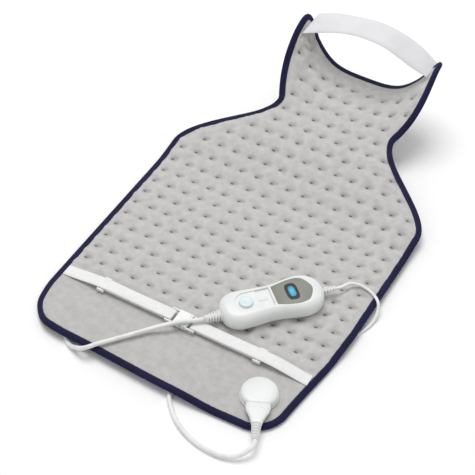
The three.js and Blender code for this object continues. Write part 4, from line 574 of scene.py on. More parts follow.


# %% [markdown]
# The cover is micro-plush: a knitted polyester with a short dense pile that feels like
# peach skin. Its pile scatters light, so it has a soft sheen at low angles, a mottled
# tone where the pile lies in different ways, and no gloss. The tufts are drawn by the
# pad's UV map, which counts them: at each whole number the thread pulls the pile into
# a pinch with a hollow round it. The pinch is painted dark as painted shade, and a
# soft painted shade lies beside it, off to one side, as if the light fell from the other.

# %% Micro-plush
plush = new_material("micro_plush", "C6C5C3", 0.95, Sheen_Weight=0.35, Sheen_Roughness=0.45,
                     Specular_IOR_Level=0.15)
tuft_count = add_node(plush, "UVMap", uv_map="tuft_count").outputs["UV"]
quilted = add_node(plush, "Attribute", attribute_name="quilted").outputs["Fac"]
half_step = add_node(plush, "VectorMath", [(0, tuft_count), (1, (0.5, 0.5, 0))], operation="ADD")
cell = add_node(plush, "VectorMath", [(0, half_step.outputs[0])], operation="FRACTION").outputs[0]


def tuft_spot(middle, stretch, full, gone, strength):
    """A soft spot at each tuft. Its middle and its two radii are shares of the tuft pitch."""
    away = add_node(plush, "VectorMath", [(0, cell), (1, (*middle, 0))], operation="SUBTRACT")
    shaped = add_node(plush, "VectorMath", [(0, away.outputs[0]), (1, (*stretch, 0))],
                      operation="MULTIPLY")
    radius = add_node(plush, "VectorMath", [(0, shaped.outputs[0])], operation="LENGTH")
    spot = add_node(plush, "MapRange", [("Value", radius.outputs["Value"])], From_Min=full,
                    From_Max=gone, To_Min=strength, To_Max=0.0, interpolation_type="SMOOTHSTEP")
    return spot.outputs["Result"]


# Painted shade: a dark spot at each tuft's pinch, and a broader one beside it, off to one side as
# if the light fell from the other; the hollow is a bump, not paint
pinch = tuft_spot((0.5, 0.5), (0.62, 1.25), 0.03, 0.11, 1.0)
shade = tuft_spot((0.64, 0.55), (0.6, 1.0), 0.03, 0.26, 0.34)
hollow = tuft_spot((0.5, 0.5), (1, 1), 0.0, 0.2, 1.0)
painted_tuft_shade = add_node(plush, "Math", [(0, pinch), (1, shade)], operation="MAXIMUM")
painted_quilt_shade = add_node(plush, "Math", [(0, painted_tuft_shade.outputs[0]), (1, quilted)], operation="MULTIPLY")
# Painted shade: the smooth hem below the tufts is drawn a shade darker than the quilted middle,
# which the light falls on more strongly
tuft_rows = add_node(plush, "SeparateXYZ", [("Vector", tuft_count)])
painted_hem_shade = add_node(plush, "MapRange", [("Value", tuft_rows.outputs["Y"])], From_Min=-9.0,
                     From_Max=-8.5, To_Min=0.09, To_Max=0.0)
painted_shade_amount = add_node(plush, "Math", [(0, painted_quilt_shade.outputs[0]), (1, painted_hem_shade.outputs["Result"])],
                  operation="MAXIMUM")
pile_tone = tone(plush, grain(plush, 9, 4), "BDBCBA", "CCCAC8", 0.3, 0.7)
# The pile's tone is mixed towards dark grey by the painted shade of the tufts and the hem
# Inputs 6 and 7 and output 2 are the colours of Blender's Mix node
pile_with_painted_shade = add_node(plush, "Mix", [("Factor", painted_shade_amount.outputs[0]), (6, pile_tone),
                                    (7, linear("646260"))], data_type="RGBA")
plug_in(plush, "Base Color", pile_with_painted_shade.outputs[2])
# Pile grain is 0.3 mm on the real cloth, and is drawn at 1.6 mm so that it shows
pile_bump = relief(plush, grain(plush, 1.6, 3), 0.35, 0.8)
crease_bump = relief(plush, grain(plush, 7, 2), 0.5, 0.3, pile_bump)
sunk = add_node(plush, "Math", [(0, hollow), (1, quilted)], operation="MULTIPLY")
level = add_node(plush, "Math", [(0, 1.0), (1, sunk.outputs[0])], operation="SUBTRACT")
relief(plush, level.outputs[0], 1.6, 0.7, crease_bump)

# %% [markdown]
# The pad is a padded form: a front sheet over wadding, sewn down to the backing at
# each tuft. It starts as a flat grid with five squares to each tuft pitch, so that
# every tuft is a point of the mesh. Squares outside the outline are cut away and the
# border is drawn on to the seam line, which lies hidden under the binding.

# %% Flat grid of the pad
PITCH_X, PITCH_Y, TUFT_X, TUFT_Y = 26.502, 26.5025, -5.04, -7.02
CELLS, COLUMNS, ROWS = 5, 80, 130
LEFT_COLUMNS, LOW_ROWS = 39, 64
LOWEST_TUFT, HIGHEST_TUFT, OUTER_TUFT, TUFT_MARGIN = -7, 11, 7, 12.6
SEAM_INSET = 2.5
CROWN, MARGIN_HEIGHT, TUFT_HEIGHT = 8.6, 5.5, 1.8


def flat_grid():
    bm = bmesh.new()
    bmesh.ops.create_grid(bm, x_segments=COLUMNS, y_segments=ROWS, size=0.5)
    first_x = TUFT_X - LEFT_COLUMNS * PITCH_X / CELLS
    first_y = TUFT_Y - LOW_ROWS * PITCH_Y / CELLS
    for point in bm.verts:
        point.co.x = first_x + (point.co.x + 0.5) * COLUMNS * PITCH_X / CELLS
        point.co.y = first_y + (point.co.y + 0.5) * ROWS * PITCH_Y / CELLS
    points = list(bm.verts)
    inside = edge_distance(np.array([point.co[:2] for point in points]))
    bmesh.ops.delete(bm, geom=[point for point, depth in zip(points, inside) if depth < SEAM_INSET],
                     context="VERTS")
    seam = outline - outward * SEAM_INSET
    for point in [point for point in bm.verts if point.is_boundary]:
        near = seam[np.argmin(np.linalg.norm(seam - np.array(point.co[:2]), axis=1))]
        point.co.x, point.co.y = near
    bmesh.ops.remove_doubles(bm, verts=bm.verts, dist=0.4)
    return bm


def is_tuft(across, along, depth):
    column, row = (across - TUFT_X) / PITCH_X, (along - TUFT_Y) / PITCH_Y
    on_point = abs(column - round(column)) < 0.01 and abs(row - round(row)) < 0.01
    has_tuft = LOWEST_TUFT <= round(row) <= HIGHEST_TUFT and abs(round(column)) <= OUTER_TUFT
    return on_point and has_tuft and depth > TUFT_MARGIN


pad_bm = flat_grid()
pad_bm.verts.ensure_lookup_table()
flat_places = np.array([tuple(point.co[:2]) for point in pad_bm.verts])
depths = edge_distance(flat_places)
tufts = [index for index, (place, depth) in enumerate(zip(flat_places, depths))
         if is_tuft(*place, depth)]
tuft_places = flat_places[tufts]
print(len(flat_places), "points on the flat front,", len(tufts), "tufts")

# %% [markdown]
# Before the simulation the front is only a rough guess: full between the tufts, low at
# each tuft and at the seam. The lower end below the waist strap has no tufts and less
# wadding, so it stays flat.

# %% First heights of the front
tuft_distance = np.full(len(flat_places), 1e9)
for tuft in tuft_places:
    tuft_distance = np.minimum(tuft_distance, np.linalg.norm(flat_places - tuft, axis=1))


def first_height(depth, distance):
    filled = CROWN + (MARGIN_HEIGHT - CROWN) * eased(distance, 15, 27)
    pulled = (CROWN - TUFT_HEIGHT) * exp(-(distance / 7.0) ** 1.3)
    at_seam = eased(depth, SEAM_INSET + 2, 17)
    return MARGIN_HEIGHT + (filled - MARGIN_HEIGHT) * at_seam - pulled


heights = np.array([first_height(*pair) for pair in zip(depths, tuft_distance)])

# %% [markdown]
# Blender's cloth does what wadding does: it pushes the sheet up evenly, while the
# tufts and the seam hold it. Heights from a formula alone would make every pillow
# alike. The sheet is given 5% more cloth than it needs, so it puckers round the
# stitches as the real cover does. It is run on the flat pattern, where nothing is in
# its way, and no point may move more than a few millimetres.

# %% Cloth simulation of the front
LIFT_CAP, CLOTH_FRAMES = 3.0, 20
HELD_EDGE, TUFT_REACH = 9, 24


def puffed(bm, start_heights):
    mesh = bpy.data.meshes.new("pad_simulation")
    bm.to_mesh(mesh)
    start = np.column_stack([flat_places, start_heights]) * MM
    mesh.vertices.foreach_set("co", start.ravel())
    sheet = bpy.data.objects.new("pad_simulation", mesh)
    scene.collection.objects.link(sheet)
    held = sheet.vertex_groups.new(name="held")
    still = [index for index in range(len(flat_places))
             if depths[index] < HELD_EDGE or tuft_distance[index] > TUFT_REACH]
    held.add(sorted(set(still) | set(tufts)), 1.0, "REPLACE")
    cloth = sheet.modifiers.new("cloth", "CLOTH")
    settings = cloth.settings
    for name, value in [("quality", 5), ("mass", 0.2), ("tension_stiffness", 12),
                        ("compression_stiffness", 12), ("shear_stiffness", 4),
                        ("bending_stiffness", 0.05), ("shrink_min", -0.05), ("use_pressure", True),
                        ("uniform_pressure_force", 4), ("vertex_group_mass", "held")]:
        setattr(settings, name, value)
    settings.effector_weights.gravity = 0
    cloth.collision_settings.use_collision = False
    cloth.point_cache.frame_start = 1
    cloth.point_cache.frame_end = CLOTH_FRAMES
    for number in range(1, CLOTH_FRAMES + 1):
        scene.frame_set(number)
    result = sheet.evaluated_get(bpy.context.evaluated_depsgraph_get()).to_mesh()
    moved = np.empty(len(result.vertices) * 3)
    result.vertices.foreach_get("co", moved)
    moved = moved.reshape(-1, 3) / MM
    bpy.data.objects.remove(sheet)
    bpy.data.meshes.remove(mesh)
    scene.frame_set(1)
    start /= MM
    step = moved - start
    reach = np.linalg.norm(step, axis=1)
    step *= np.minimum(1, LIFT_CAP / np.maximum(reach, 1e-9))[:, None]
    print("cloth moved by up to", round(float(reach.max()), 1), "mm, capped at", LIFT_CAP)
    return start + step


front_places = puffed(pad_bm, heights)
front_places[:, 2] = np.minimum(front_places[:, 2], CROWN + 0.2)
for place, distance, depth in zip(front_places, tuft_distance, depths):
    wrinkle = noise.noise((place[0] / 13, place[1] / 21, 0))
    wrinkle += 0.5 * noise.noise((place[0] / 30, place[1] / 11, 5))
    place[2] += 1.1 * wrinkle * eased(distance, 18, 27) * eased(depth, 9, 14)

# %% [markdown]
# The flat result is now laid on the pad's surface. A copy of it is the backing, flat
# underneath, and the two borders are bridged, which closes the form. The backing keeps
# its own material: a brushed tricot, plain and thin, with a fine knitted rib.

# %% The pad as a closed form
backing = finished("brushed_tricot", "BDBCB9", 0.9, ("B3B2AF", "C4C3C0"), fleck=(20, 3),
                   Sheen_Weight=0.2)
tricot_place = add_node(backing, "TexCoord").outputs["Object"]
# Knitted ribs are 0.6 mm apart on the real backing, and drawn at 2.4 mm so that they show
ribs = add_node(backing, "TexWave", [("Vector", tricot_place)], Scale=wave_scale(2.4),
                Distortion=1.5, Detail=1.0)
relief(backing, ribs.outputs["Fac"], 0.2, 0.5)


def closed_pad(bm, front):
    layer = bm.loops.layers.uv.new("tuft_count")
    for face in bm.faces:
        face.smooth = True
        for loop in face.loops:
            across, along = loop.vert.co[:2]
            loop[layer].uv = ((across - TUFT_X) / PITCH_X, (along - TUFT_Y) / PITCH_Y)
    quilted_layer = bm.verts.layers.float.new("quilted")
    front_points = list(bm.verts)
    copied = bmesh.ops.duplicate(bm, geom=bm.verts[:] + bm.edges[:] + bm.faces[:])
    back_points = {item for item in copied["geom"] if isinstance(item, bmesh.types.BMVert)}
    for point in back_points:
        point.co = on_pad(point.co.x, point.co.y, 0.2)
    for point, place, distance in zip(front_points, front, tuft_distance):
        point.co = on_pad(*place)
        point[quilted_layer] = float(distance < 12)
    for face in bm.faces:
        face.material_index = 1 if face.verts[0] in back_points else 0
    bmesh.ops.bridge_loops(bm, edges=[edge for edge in bm.edges if edge.is_boundary])
    return bm


pad_body = to_object(closed_pad(pad_bm, front_places), "quilted_pad", plush)
pad_body.data.materials.append(backing)
finer = pad_body.modifiers.new("finer", "SUBSURF")
finer.levels = finer.render_levels = 1
belongs(pad_body, "pad", "plush", "front_cover", "back_cover")
print("pad of", len(pad_body.data.polygons), "faces, before it is made finer")

# %% [markdown]
# Sewn threads are real pieces, because they catch the light: one small bead of thread
# for each stitch, made from an icosphere drawn out along the seam. They are few faces
# each, since there are hundreds.

# %% Threads
TWIST = (1.0, 2, 0.1, 0.6)
thread_grey = finished("spun_polyester_thread_grey", "8D8B87", 0.8, ("807E7A", "9B9995"), TWIST,
                       Sheen_Weight=0.2)
thread_navy = finished("spun_polyester_thread_navy", "24234F", 0.7, ("1C1B42", "323164"), TWIST,
                       Sheen_Weight=0.2)


def stitches(name, places, thickness, material, subdivisions=1):
    """Each place is (start, end), in metres, of one stitch."""
    bm = bmesh.new()
    for start, end in places:
        way = end - start
        if way.length < 1e-6:
            continue
        spin = way.to_track_quat("X", "Z").to_matrix().to_4x4()
        size = Matrix.Diagonal((way.length / 2, thickness * MM / 2, thickness * MM / 2, 1))
        bmesh.ops.create_icosphere(bm, subdivisions=subdivisions, radius=1,
                                   matrix=Matrix.Translation((start + end) / 2) @ spin @ size)
    return to_object(bm, name, material)


def sewn_run(points, stitch_mm, gap_mm):
    """Start and end of each stitch along a line of points in metres."""
    line = np.array([tuple(point) for point in points])
    lengths = lengths_along(line)
    pitch = (stitch_mm + gap_mm) * MM
    result = []
    for number in range(int(lengths[-1] / pitch)):
        ends = [number * pitch, number * pitch + stitch_mm * MM]
        result.append([Vector([np.interp(end, lengths, values) for values in line.T])
                       for end in ends])
    return result


random.seed(7)
HALF_STITCH, THREAD_HEIGHT = 1.5, TUFT_HEIGHT + 1.6
tuft_stitches = []
for across, along in tuft_places:
    lean = random.uniform(-0.5, 0.5)
    reach_x, reach_y = HALF_STITCH * cos(lean), HALF_STITCH * sin(lean)
    tuft_stitches.append([on_pad(across + way * reach_x, along + way * reach_y, THREAD_HEIGHT)
                          for way in (-1, 1)])
tuft_threads = stitches("tuft_threads", tuft_stitches, 0.9, thread_grey, 2)
belongs(tuft_threads, "pad", "plush")
print(len(tuft_stitches), "tuft stitches")

# %% [markdown]
# The binding is a navy polyester tape, folded round the raw edge and sewn through both
# lips with one line of stitches. Its section is drawn once, as a closed line of points
# outward and up, and carried round the outline. A strip with a Solidify modifier would
# have one thickness all over, but the real tape is fuller at its fold. Sewn round a
# curve it puckers a little, which the ripple along its length gives.

# %% Binding tape
binding_tape = finished("navy_binding_tape", "16153A", 0.8, ("121133", "1A1941"), fleck=(30, 3),
                        Sheen_Weight=0.04, Sheen_Roughness=0.5, Specular_IOR_Level=0.2)
# The tape's ribs run across it, 0.5 mm apart, and are drawn at 1.5 mm so that they show
relief(binding_tape, woven_ribs(binding_tape, "Y", 1.5, 0.6), 0.12, 0.6)

binding_section = smooth_line([
    (-7.0, 5.7), (-6.7, 6.3), (-4.2, 6.3), (-1.5, 6.1), (0.9, 5.3), (2.1, 4.0), (2.3, 2.5),
    (1.9, 0.9), (0.5, -0.7), (-1.5, -1.15), (-4.2, -1.2), (-6.7, -1.2), (-7.0, -0.6),
    (-6.2, -0.1), (-3.0, -0.1), (0.1, 0.3), (0.9, 1.6), (1.1, 2.7), (0.7, 3.8), (-0.3, 4.6),
    (-3.0, 5.0), (-6.2, 5.2),
], 1.2, closed=True)
TAPE_ROUND, outline_length = 0.036, line_length(outline) * MM
lengths_round = lengths_along(outline)


def binding_place(around, along):
    index = round(along * len(outline)) % len(outline)
    out, up = binding_section[round(around * (len(binding_section) - 1))]
    pucker = 0.14 * sin(lengths_round[index] * 1.9) + 0.1 * sin(lengths_round[index] * 0.83)
    if up > 5.6:
        up += pucker
    place = outline[index] + outward[index] * out
    return on_pad(place[0], place[1], up)


binding = wrapped_grid("edge_tape", binding_tape, len(binding_section) - 1, len(outline),
                       binding_place,
                       lambda around, along: (around * TAPE_ROUND, along * outline_length),
                       fill_ends=False)
belongs(binding, "pad", "binding", "edge_binding")

STITCH_INSET, STITCH_HEIGHT = 5.4, 6.4
seam_points = [on_pad(*place, STITCH_HEIGHT) for place in outline - outward * STITCH_INSET]
binding_stitches = stitches("edge_stitches", sewn_run(seam_points, 3.0, 1.2), 0.6, thread_navy)
belongs(binding_stitches, "pad", "binding")
print("binding of", len(binding.data.polygons), "faces")

# %% [markdown]
# Webbing and the neck strap are flat bands. A band is a rounded section, wide and thin,
# carried along its two edges. The waist webbing is woven, with a fine slanting pattern,
# and the neck strap is a softer tape with ribs along it. Their weave is too fine to see
# from a step away, but it keeps both from shining.

# %% Webbing and strap cloth
webbing = finished("white_polyester_webbing", "F0F0F0", 0.8, ("E9E9E9", "F0F0EF"), fleck=(8, 3),
                   Sheen_Weight=0.2)
# Yarns are 0.7 mm apart on the real webbing, and are drawn at 2 mm so that they show
slanting, straight = woven_ribs(webbing, "DIAGONAL", 2, 0.3), woven_ribs(webbing, "Y", 2, 0.3)
yarns = add_node(webbing, "Math", [(0, slanting), (1, straight)], operation="MULTIPLY")
relief(webbing, yarns.outputs[0], 0.12, 0.5)

strap_cloth = finished("white_ribbed_strap_tape", "EAEAED", 0.8, ("DEDEE1", "E5E5E8"),
                       fleck=(35, 3), Sheen_Weight=0.15)
# Fine ribs run along the strap, 0.8 mm apart, and are drawn at 2 mm so that they show
relief(strap_cloth, woven_ribs(strap_cloth, "X", 2, 0.4), 0.12, 0.4)


def band(name, near, far, thickness, sag, material):
    """A band between two edges, which hold as many points, with a face above and one below."""
    section = [(0, 0), (0.015, 1), (0.25, 1), (0.5, 1), (0.75, 1), (0.985, 1), (1, 0),
               (0.985, -1), (0.75, -1), (0.5, -1), (0.25, -1), (0.015, -1), (0, 0)]
    middle = (near + far) / 2
    over = np.cross(np.gradient(middle, axis=0), far - near)
    over /= np.linalg.norm(over, axis=1)[:, None]
    length = line_length(middle) * MM
    width = float(np.linalg.norm(far - near, axis=1).mean()) * MM

    def place_of(around, along):
        index = round(along * (len(near) - 1))
        share, face = section[round(around * (len(section) - 1))]
        out = face * thickness / 2 - sag * ((2 * share - 1) ** 2 - 0.5)
        return pad_place(*(near[index] + (far[index] - near[index]) * share + over[index] * out))

    made = wrapped_grid(name, material, len(section) - 1, len(near) - 1, place_of,
                        lambda around, along: (abs(around - 0.5) * 2 * width, along * length))
    return made, width, length


# %% [markdown]
# Each waist band is sewn under the binding, rises to the buckle, turns round its bar
# and comes back below itself to the slider, so it is double between the two. The right
# band's inner end goes with the clip, and its outer end stays with the pad.

# %% Waist bands
WAIST_Y, LOWER_PLY, UPPER_PLY, PLY_MIDDLE = -227.0, 11.85, 15.15, 13.5
WAIST_WIDTH, WAIST_THICKNESS, BUCKLE_X, BUCKLE_LENGTH, BAR_INSET = 19, 1.05, -6.5, 47.0, 6.3
# The slope from the binding, as shares of the way to its upper end and heights over the seam
SEAM_HEIGHT, SLOPE_END = 7.55, 130
WAIST_SLOPE = [(1, 0), (0.865, 0.6), (0.69, 2.2), (0.43, 4.7), (0.22, 6.6), (0, 7.6)]
left_bar, right_bar = (BUCKLE_X + side * (BUCKLE_LENGTH / 2 - BAR_INSET) for side in (-1, 1))


def waist_band(name, side, end_x, level_x, slack_x, slider_x, bar_x):
    round_bar = (UPPER_PLY - LOWER_PLY) / 2
    places = [(side * (SLOPE_END + (end_x - SLOPE_END) * share), SEAM_HEIGHT + rise)
              for share, rise in WAIST_SLOPE]
    places += [(level_x, UPPER_PLY), (slack_x, UPPER_PLY - 0.2), (bar_x + side * 8, UPPER_PLY)]
    places += [(bar_x - side * cos(turned) * round_bar, PLY_MIDDLE + sin(turned) * round_bar)
               for turned in np.linspace(pi / 2, -pi / 2, 7)]
    places += [(bar_x + side * 8, LOWER_PLY), (slider_x - side * 12, LOWER_PLY),
               (slider_x + side * 5.5, LOWER_PLY)]
    line = smooth_line(places, 1.5)
    near, far = (np.column_stack([line[:, 0], np.full(len(line), WAIST_Y + edge * WAIST_WIDTH / 2),
                                  line[:, 1]]) for edge in (-1, 1))
    return band(name, near, far, WAIST_THICKNESS, 0, webbing)[0]


waist_left = waist_band("waist_band_left", -1, 199.4, -100, -66, -135, left_bar)
waist_right = waist_band("waist_band_right", 1, 190.0, 90, 58, 114, right_bar)
belongs(waist_left, "pad", "webbing", "waist_strap_left")
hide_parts("waist_strap_right")
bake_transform(waist_right)

# %% [markdown]
# The neck strap is a wide soft tape, sewn to both wings, that stands up in an arch
# between them. It is drawn by its near and its far edge, because its ends are turned a
# little to the front. Its left end comes down over a stitched patch of plush, which is
# drawn a darker grey than the pad as painted shade under the strap's end.

# %% Neck strap and patch
NEAR_EDGE = [(-107.3, 301, 112.6), (-82.4, 305, 121.5), (-47, 306, 135), (-13.2, 306, 141.3),
             (26.6, 306, 139.5), (58, 306, 128.5), (76, 305.5, 121.5), (105.4, 306, 112.6)]
FAR_EDGE = [(-100, 346, 125.5), (-73, 347, 136.5), (-30.5, 347, 145.5), (9, 347, 149.5),
            (45, 347, 143.5), (76, 347, 131.5), (104.4, 346, 112.5)]


def evenly(line, steps):
    even = np.linspace(0, 1, steps + 1)
    old = np.linspace(0, 1, len(line))
    return np.column_stack([np.interp(even, old, values) for values in line.T])


near_edge, far_edge = (evenly(smooth_line(edge, 1), 90) for edge in (NEAR_EDGE, FAR_EDGE))
neck_strap, strap_width, strap_length = band("neck_band", near_edge, far_edge, 1.4, 0.6,
                                             strap_cloth)
belongs(neck_strap, "pad", "strap", "neck_strap")
print("neck strap", round(strap_width, 4), "by", round(strap_length, 4), "m, laid flat")

# Painted shade: the patch's plush is a darker grey than the pad's, for the shade under the strap
patch_plush_painted_shade = finished("stitched_patch_painted_shade", "B4B2AE", 0.92, ("A8A6A2", "BFBDB9"),
                       (1.6, 3, 0.3, 0.7), (10, 3), Sheen_Weight=0.3)
PATCH_LEFT, PATCH_RIGHT, PATCH_LOW, PATCH_HIGH, PATCH_UNDERSIDE = -127.0, -97.0, 296.0, 319.0, 6.8
patch_section = [(0, 0), (0, 0.9), (0.25, 1), (0.5, 1), (0.75, 1), (1, 0.9), (1, 0), (0.5, 0),
                 (0, 0)]


def patch_place(around, along):
    share, up = patch_section[round(around * (len(patch_section) - 1))]
    return on_pad(PATCH_LEFT + (PATCH_RIGHT - PATCH_LEFT) * along,
                  PATCH_LOW + (PATCH_HIGH - PATCH_LOW) * share, PATCH_UNDERSIDE + up)


patch = wrapped_grid("wing_patch", patch_plush_painted_shade, len(patch_section) - 1, 14, patch_place)
belongs(patch, "pad", "patch", "neck_patch")
left, right, bottom, top = PATCH_LEFT + 2, PATCH_RIGHT - 2, PATCH_LOW + 2, PATCH_HIGH - 2
patch_edge = [(left, bottom), (right, bottom), (right, top), (left, top), (left, bottom)]
patch_run = [on_pad(*(np.array(a) + (np.array(b) - np.array(a)) * share), PATCH_UNDERSIDE + 1.15)
             for a, b in zip(patch_edge, patch_edge[1:]) for share in np.linspace(0, 1, 12)]
patch_stitches = stitches("patch_stitches", sewn_run(patch_run, 2.4, 1.4), 0.6, thread_grey)
belongs(patch_stitches, "pad", "patch")
print("patch of", len(patch.data.polygons), "faces")

# %% [markdown]
# The hard white parts are ABS, injection moulded and lightly spark-eroded: a matt skin
# with a soft highlight, no visible grain from a step away, and a slightly cool white.
# The buckle and sliders are acetal, which is whiter, slicker and a little waxy.

# %% Hard plastics
abs_white = finished("moulded_abs_white", "ECEFED", 0.32, ("E4E7E5", "ECEEEC"), (0.9, 2, 0.02, 0.3),
                     (40, 2), (0.28, 0.38), Specular_IOR_Level=0.5)
acetal = finished("moulded_acetal_white", "F1F1EF", 0.38, ("EBEBE9", "F4F4F2"),
                  (1.4, 2, 0.03, 0.35))
knob_plastic = finished("moulded_abs_pale_blue", "DCE8EC", 0.28, ("D6E3E8", "E2ECF0"),
                        (1.0, 2, 0.02, 0.3))

# %% [markdown]
# A rigid part whose shape the frame already has could be modelled anew, but its mesh
# there has every size right, so a copy of that is finished: the copy's loose triangles
# are merged, flat faces are made whole again, and a small bevel gives the moulded edge
# that catches the light.

# %% Rounded copies of rigid parts


def whole_faces(old_mesh, new_mesh, merge_distance, flat_degrees):
    bm = bmesh.new()
    bm.from_mesh(old_mesh)
    bmesh.ops.remove_doubles(bm, verts=bm.verts, dist=merge_distance)
    bmesh.ops.dissolve_limit(bm, angle_limit=radians(flat_degrees), verts=bm.verts, edges=bm.edges)
    bm.to_mesh(new_mesh)
    bm.free()


def smooth_with_round_edges(piece, width_mm, degrees):
    """A small round on every edge sharper than that, and smooth shading elsewhere."""
    piece.data.polygons.foreach_set("use_smooth", [True] * len(piece.data.polygons))
    piece.data.set_sharp_from_angle(angle=radians(degrees))
    edge = piece.modifiers.new("moulded_edge", "BEVEL")
    edge.width, edge.segments = width_mm * MM, 2
    edge.limit_method, edge.angle_limit = "ANGLE", radians(degrees)
    edge.harden_normals = True


def rounded_copy(node_name, name, material, body, slot, bevel_mm, sharp_degrees=38):
    mesh = bpy.data.meshes.new(name)
    whole_faces(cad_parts[node_name].data, mesh, 1e-6, 0.6)
    mesh.materials.append(material)
    made = bpy.data.objects.new(name, mesh)
    scene.collection.objects.link(made)
    smooth_with_round_edges(made, bevel_mm, sharp_degrees)
    return belongs(made, body, slot, node_name)


rigid_copies = [
    ("buckle_socket", "buckle_receiver", acetal, "pad", "buckle", 0.5),
    ("buckle_clip", "buckle_prongs", acetal, "clip", "buckle", 0.4),
    ("strap_slider_left", "slider_left", acetal, "left_slider", "buckle", 0.35),
    ("strap_slider_right", "slider_right", acetal, "right_slider", "buckle", 0.35),
    ("socket_base", "socket_foot", abs_white, "pad", "housing", 0.3),
    ("socket_cover", "socket_dome", abs_white, "pad", "housing", 0.3, 50),
    ("connector_lower_shell", "connector_bottom", abs_white, "connector", "housing", 0.3, 50),
    ("connector_upper_shell", "connector_top", abs_white, "connector", "housing", 0.3, 50),
    ("mains_plug_body", "plug_body", pvc, "pad", "relief", 0.5, 50),
]
for row in rigid_copies:
    rounded_copy(*row)
print(len(rigid_copies), "rigid copies made")

# %% [markdown]
# A strain relief is moulded on to the cord: a tapered sleeve with ribs round it, so it
# bends a little everywhere instead of kinking at one place. Its profile is drawn once
# and spun round the cord's line. The ribs stand clear of a thinner core.

# %% Strain reliefs


def turned_part(name, profile, place_of, material, steps=40):
    """profile holds (along, radius); place_of puts a point of it in the frame."""
    bm = bmesh.new()
    points = [bm.verts.new((along, 0, radius)) for along, radius in profile]
    edges = [bm.edges.new(pair) for pair in zip(points, points[1:])]
    bmesh.ops.spin(bm, geom=points + edges, cent=(0, 0, 0), axis=(1, 0, 0), angle=2 * pi,
                   steps=steps, use_merge=True)
    bmesh.ops.remove_doubles(bm, verts=bm.verts, dist=1e-4)
    for point in bm.verts:
        point.co = place_of(*point.co)
    return to_object(bm, name, material)


# One rib as shares of the rib pitch and of its radius: first the core, then the rib
RIB = [(0, 0.5), (0.42, 0.5), (0.46, 0.96), (0.56, 1), (0.88, 1), (0.97, 0.96)]


def ribbed_profile(start, end, start_radius, end_radius, ribs):
    """Rounded ribs along a taper, with a closed collar at the housing."""
    profile = [(start, 0), (start, start_radius), (start + 1.6, start_radius)]
    first, last = start + 1.8, end - 2.6
    pitch = (last - first) / ribs
    for rib in range(ribs):
        from_x = first + rib * pitch
        radius = start_radius + (end_radius - start_radius) * (rib + 0.5) / ribs
        profile += [(from_x + pitch * along, radius * share) for along, share in RIB]
    return profile + [(last, end_radius * 0.82), (end - 0.8, end_radius * 0.9),
                      (end, end_radius * 0.84), (end, 0)]


def handset_relief(name, node, start, end, start_radius, end_radius, ribs):
    side = 1 if end > 0 else -1
    profile = ribbed_profile(abs(start), abs(end), start_radius, end_radius, ribs)
    made = turned_part(name, profile,
                       lambda x, y, z: handset_place(side * x, y, HANDSET_CORD + z), pvc)
    return belongs(made, "pad", "relief", node)


handset_relief("lead_relief", "lead_strain_relief", -74.5, -98, 8.6, 5.0, 5)
handset_relief("mains_relief", "mains_strain_relief", 73.5, 95, 5.8, 3.4, 4)
connector_relief = turned_part(
    "connector_relief", ribbed_profile(51.6, 75.8, 6.6, 5.0, 5),
    lambda x, y, z: pad_place(*on_socket(x, y, CONNECTOR_CORD + z)), pvc)
belongs(connector_relief, "connector", "relief", "connector_strain_relief")
PLUG_X = coil_places[-1][0]
plug_relief = turned_part(
    "plug_relief", ribbed_profile(0, 22, 5.2, 3.2, 4),
    lambda x, y, z: pad_place(PLUG_X + y, PLUG_TOP - 23 + x, PLUG_Z + z), pvc)
belongs(plug_relief, "pad", "relief", "mains_plug_relief")
print("four strain reliefs")

# %% [markdown]
# The controller's housing is two moulded shells. The real ones curve over from side to
# top in one sweep, which a bevel on a straight block doesn't follow, so each is lofted
# from one smooth outline that is drawn in at several heights. It is then cut where the
# switch and the display sit, and given its wall by a Solidify modifier, so it is hollow.

# %% Outline and loft of the controller
HANDSET_HALF = [(-76, 0), (-74, 12), (-68, 22), (-56, 28.5), (-36, 29), (-12, 27.2),
                (8, 27.8), (30, 31.5), (48, 32), (62, 26.5), (71, 16), (75.5, 0)]
handset_outline = smooth_line([(x, -y) for x, y in HANDSET_HALF] + HANDSET_HALF[-2:0:-1], 4.2,
                              closed=True)[:-1]
inward = -ways_across(handset_outline)


def loft(name, sections):
    """sections hold (height, inset); the outline is drawn in by the inset at each height."""
    levels = smooth_line(sections, 1.3)

    def place_of(around, along):
        height, inset = levels[round(along * (len(levels) - 1))]
        index = round(around * len(handset_outline)) % len(handset_outline)
        x, y = handset_outline[index] + inward[index] * inset
        return handset_place(x, y, height)

    return wrapped_grid(name, abs_white, len(handset_outline), len(levels) - 1, place_of)


def cutter(name, line, low, high, draft=0.0):
    """A closed block over a line of (x, y), for cutting; draft widens its top."""
    bm = bmesh.new()
    corners = [bm.verts.new((x, y, 0)) for x, y in line]
    face = bm.faces.new(corners)
    lifted = bmesh.ops.extrude_face_region(bm, geom=[face])
    tops = [item for item in lifted["geom"] if isinstance(item, bmesh.types.BMVert)]
    middle = sum((point.co for point in tops), Vector()) / len(tops)
    for point in tops:
        point.co = middle + (point.co - middle) * (1 + draft)
        point.co.z = high
    for point in corners:
        point.co.z = low
    for point in bm.verts:
        point.co = handset_place(*point.co)
    return to_object(bm, name, abs_white, smooth=False)


def bake_modifiers(piece):
    evaluated = piece.evaluated_get(bpy.context.evaluated_depsgraph_get())
    baked = bpy.data.meshes.new_from_object(evaluated)
    piece.modifiers.clear()
    piece.data = baked


def cut_away(piece, *tools):
    for tool in tools:
        cut = piece.modifiers.new("cut", "BOOLEAN")
        cut.operation = "DIFFERENCE"
        cut.solver = "EXACT"
        cut.object = tool
        bake_modifiers(piece)
        bpy.data.objects.remove(tool)


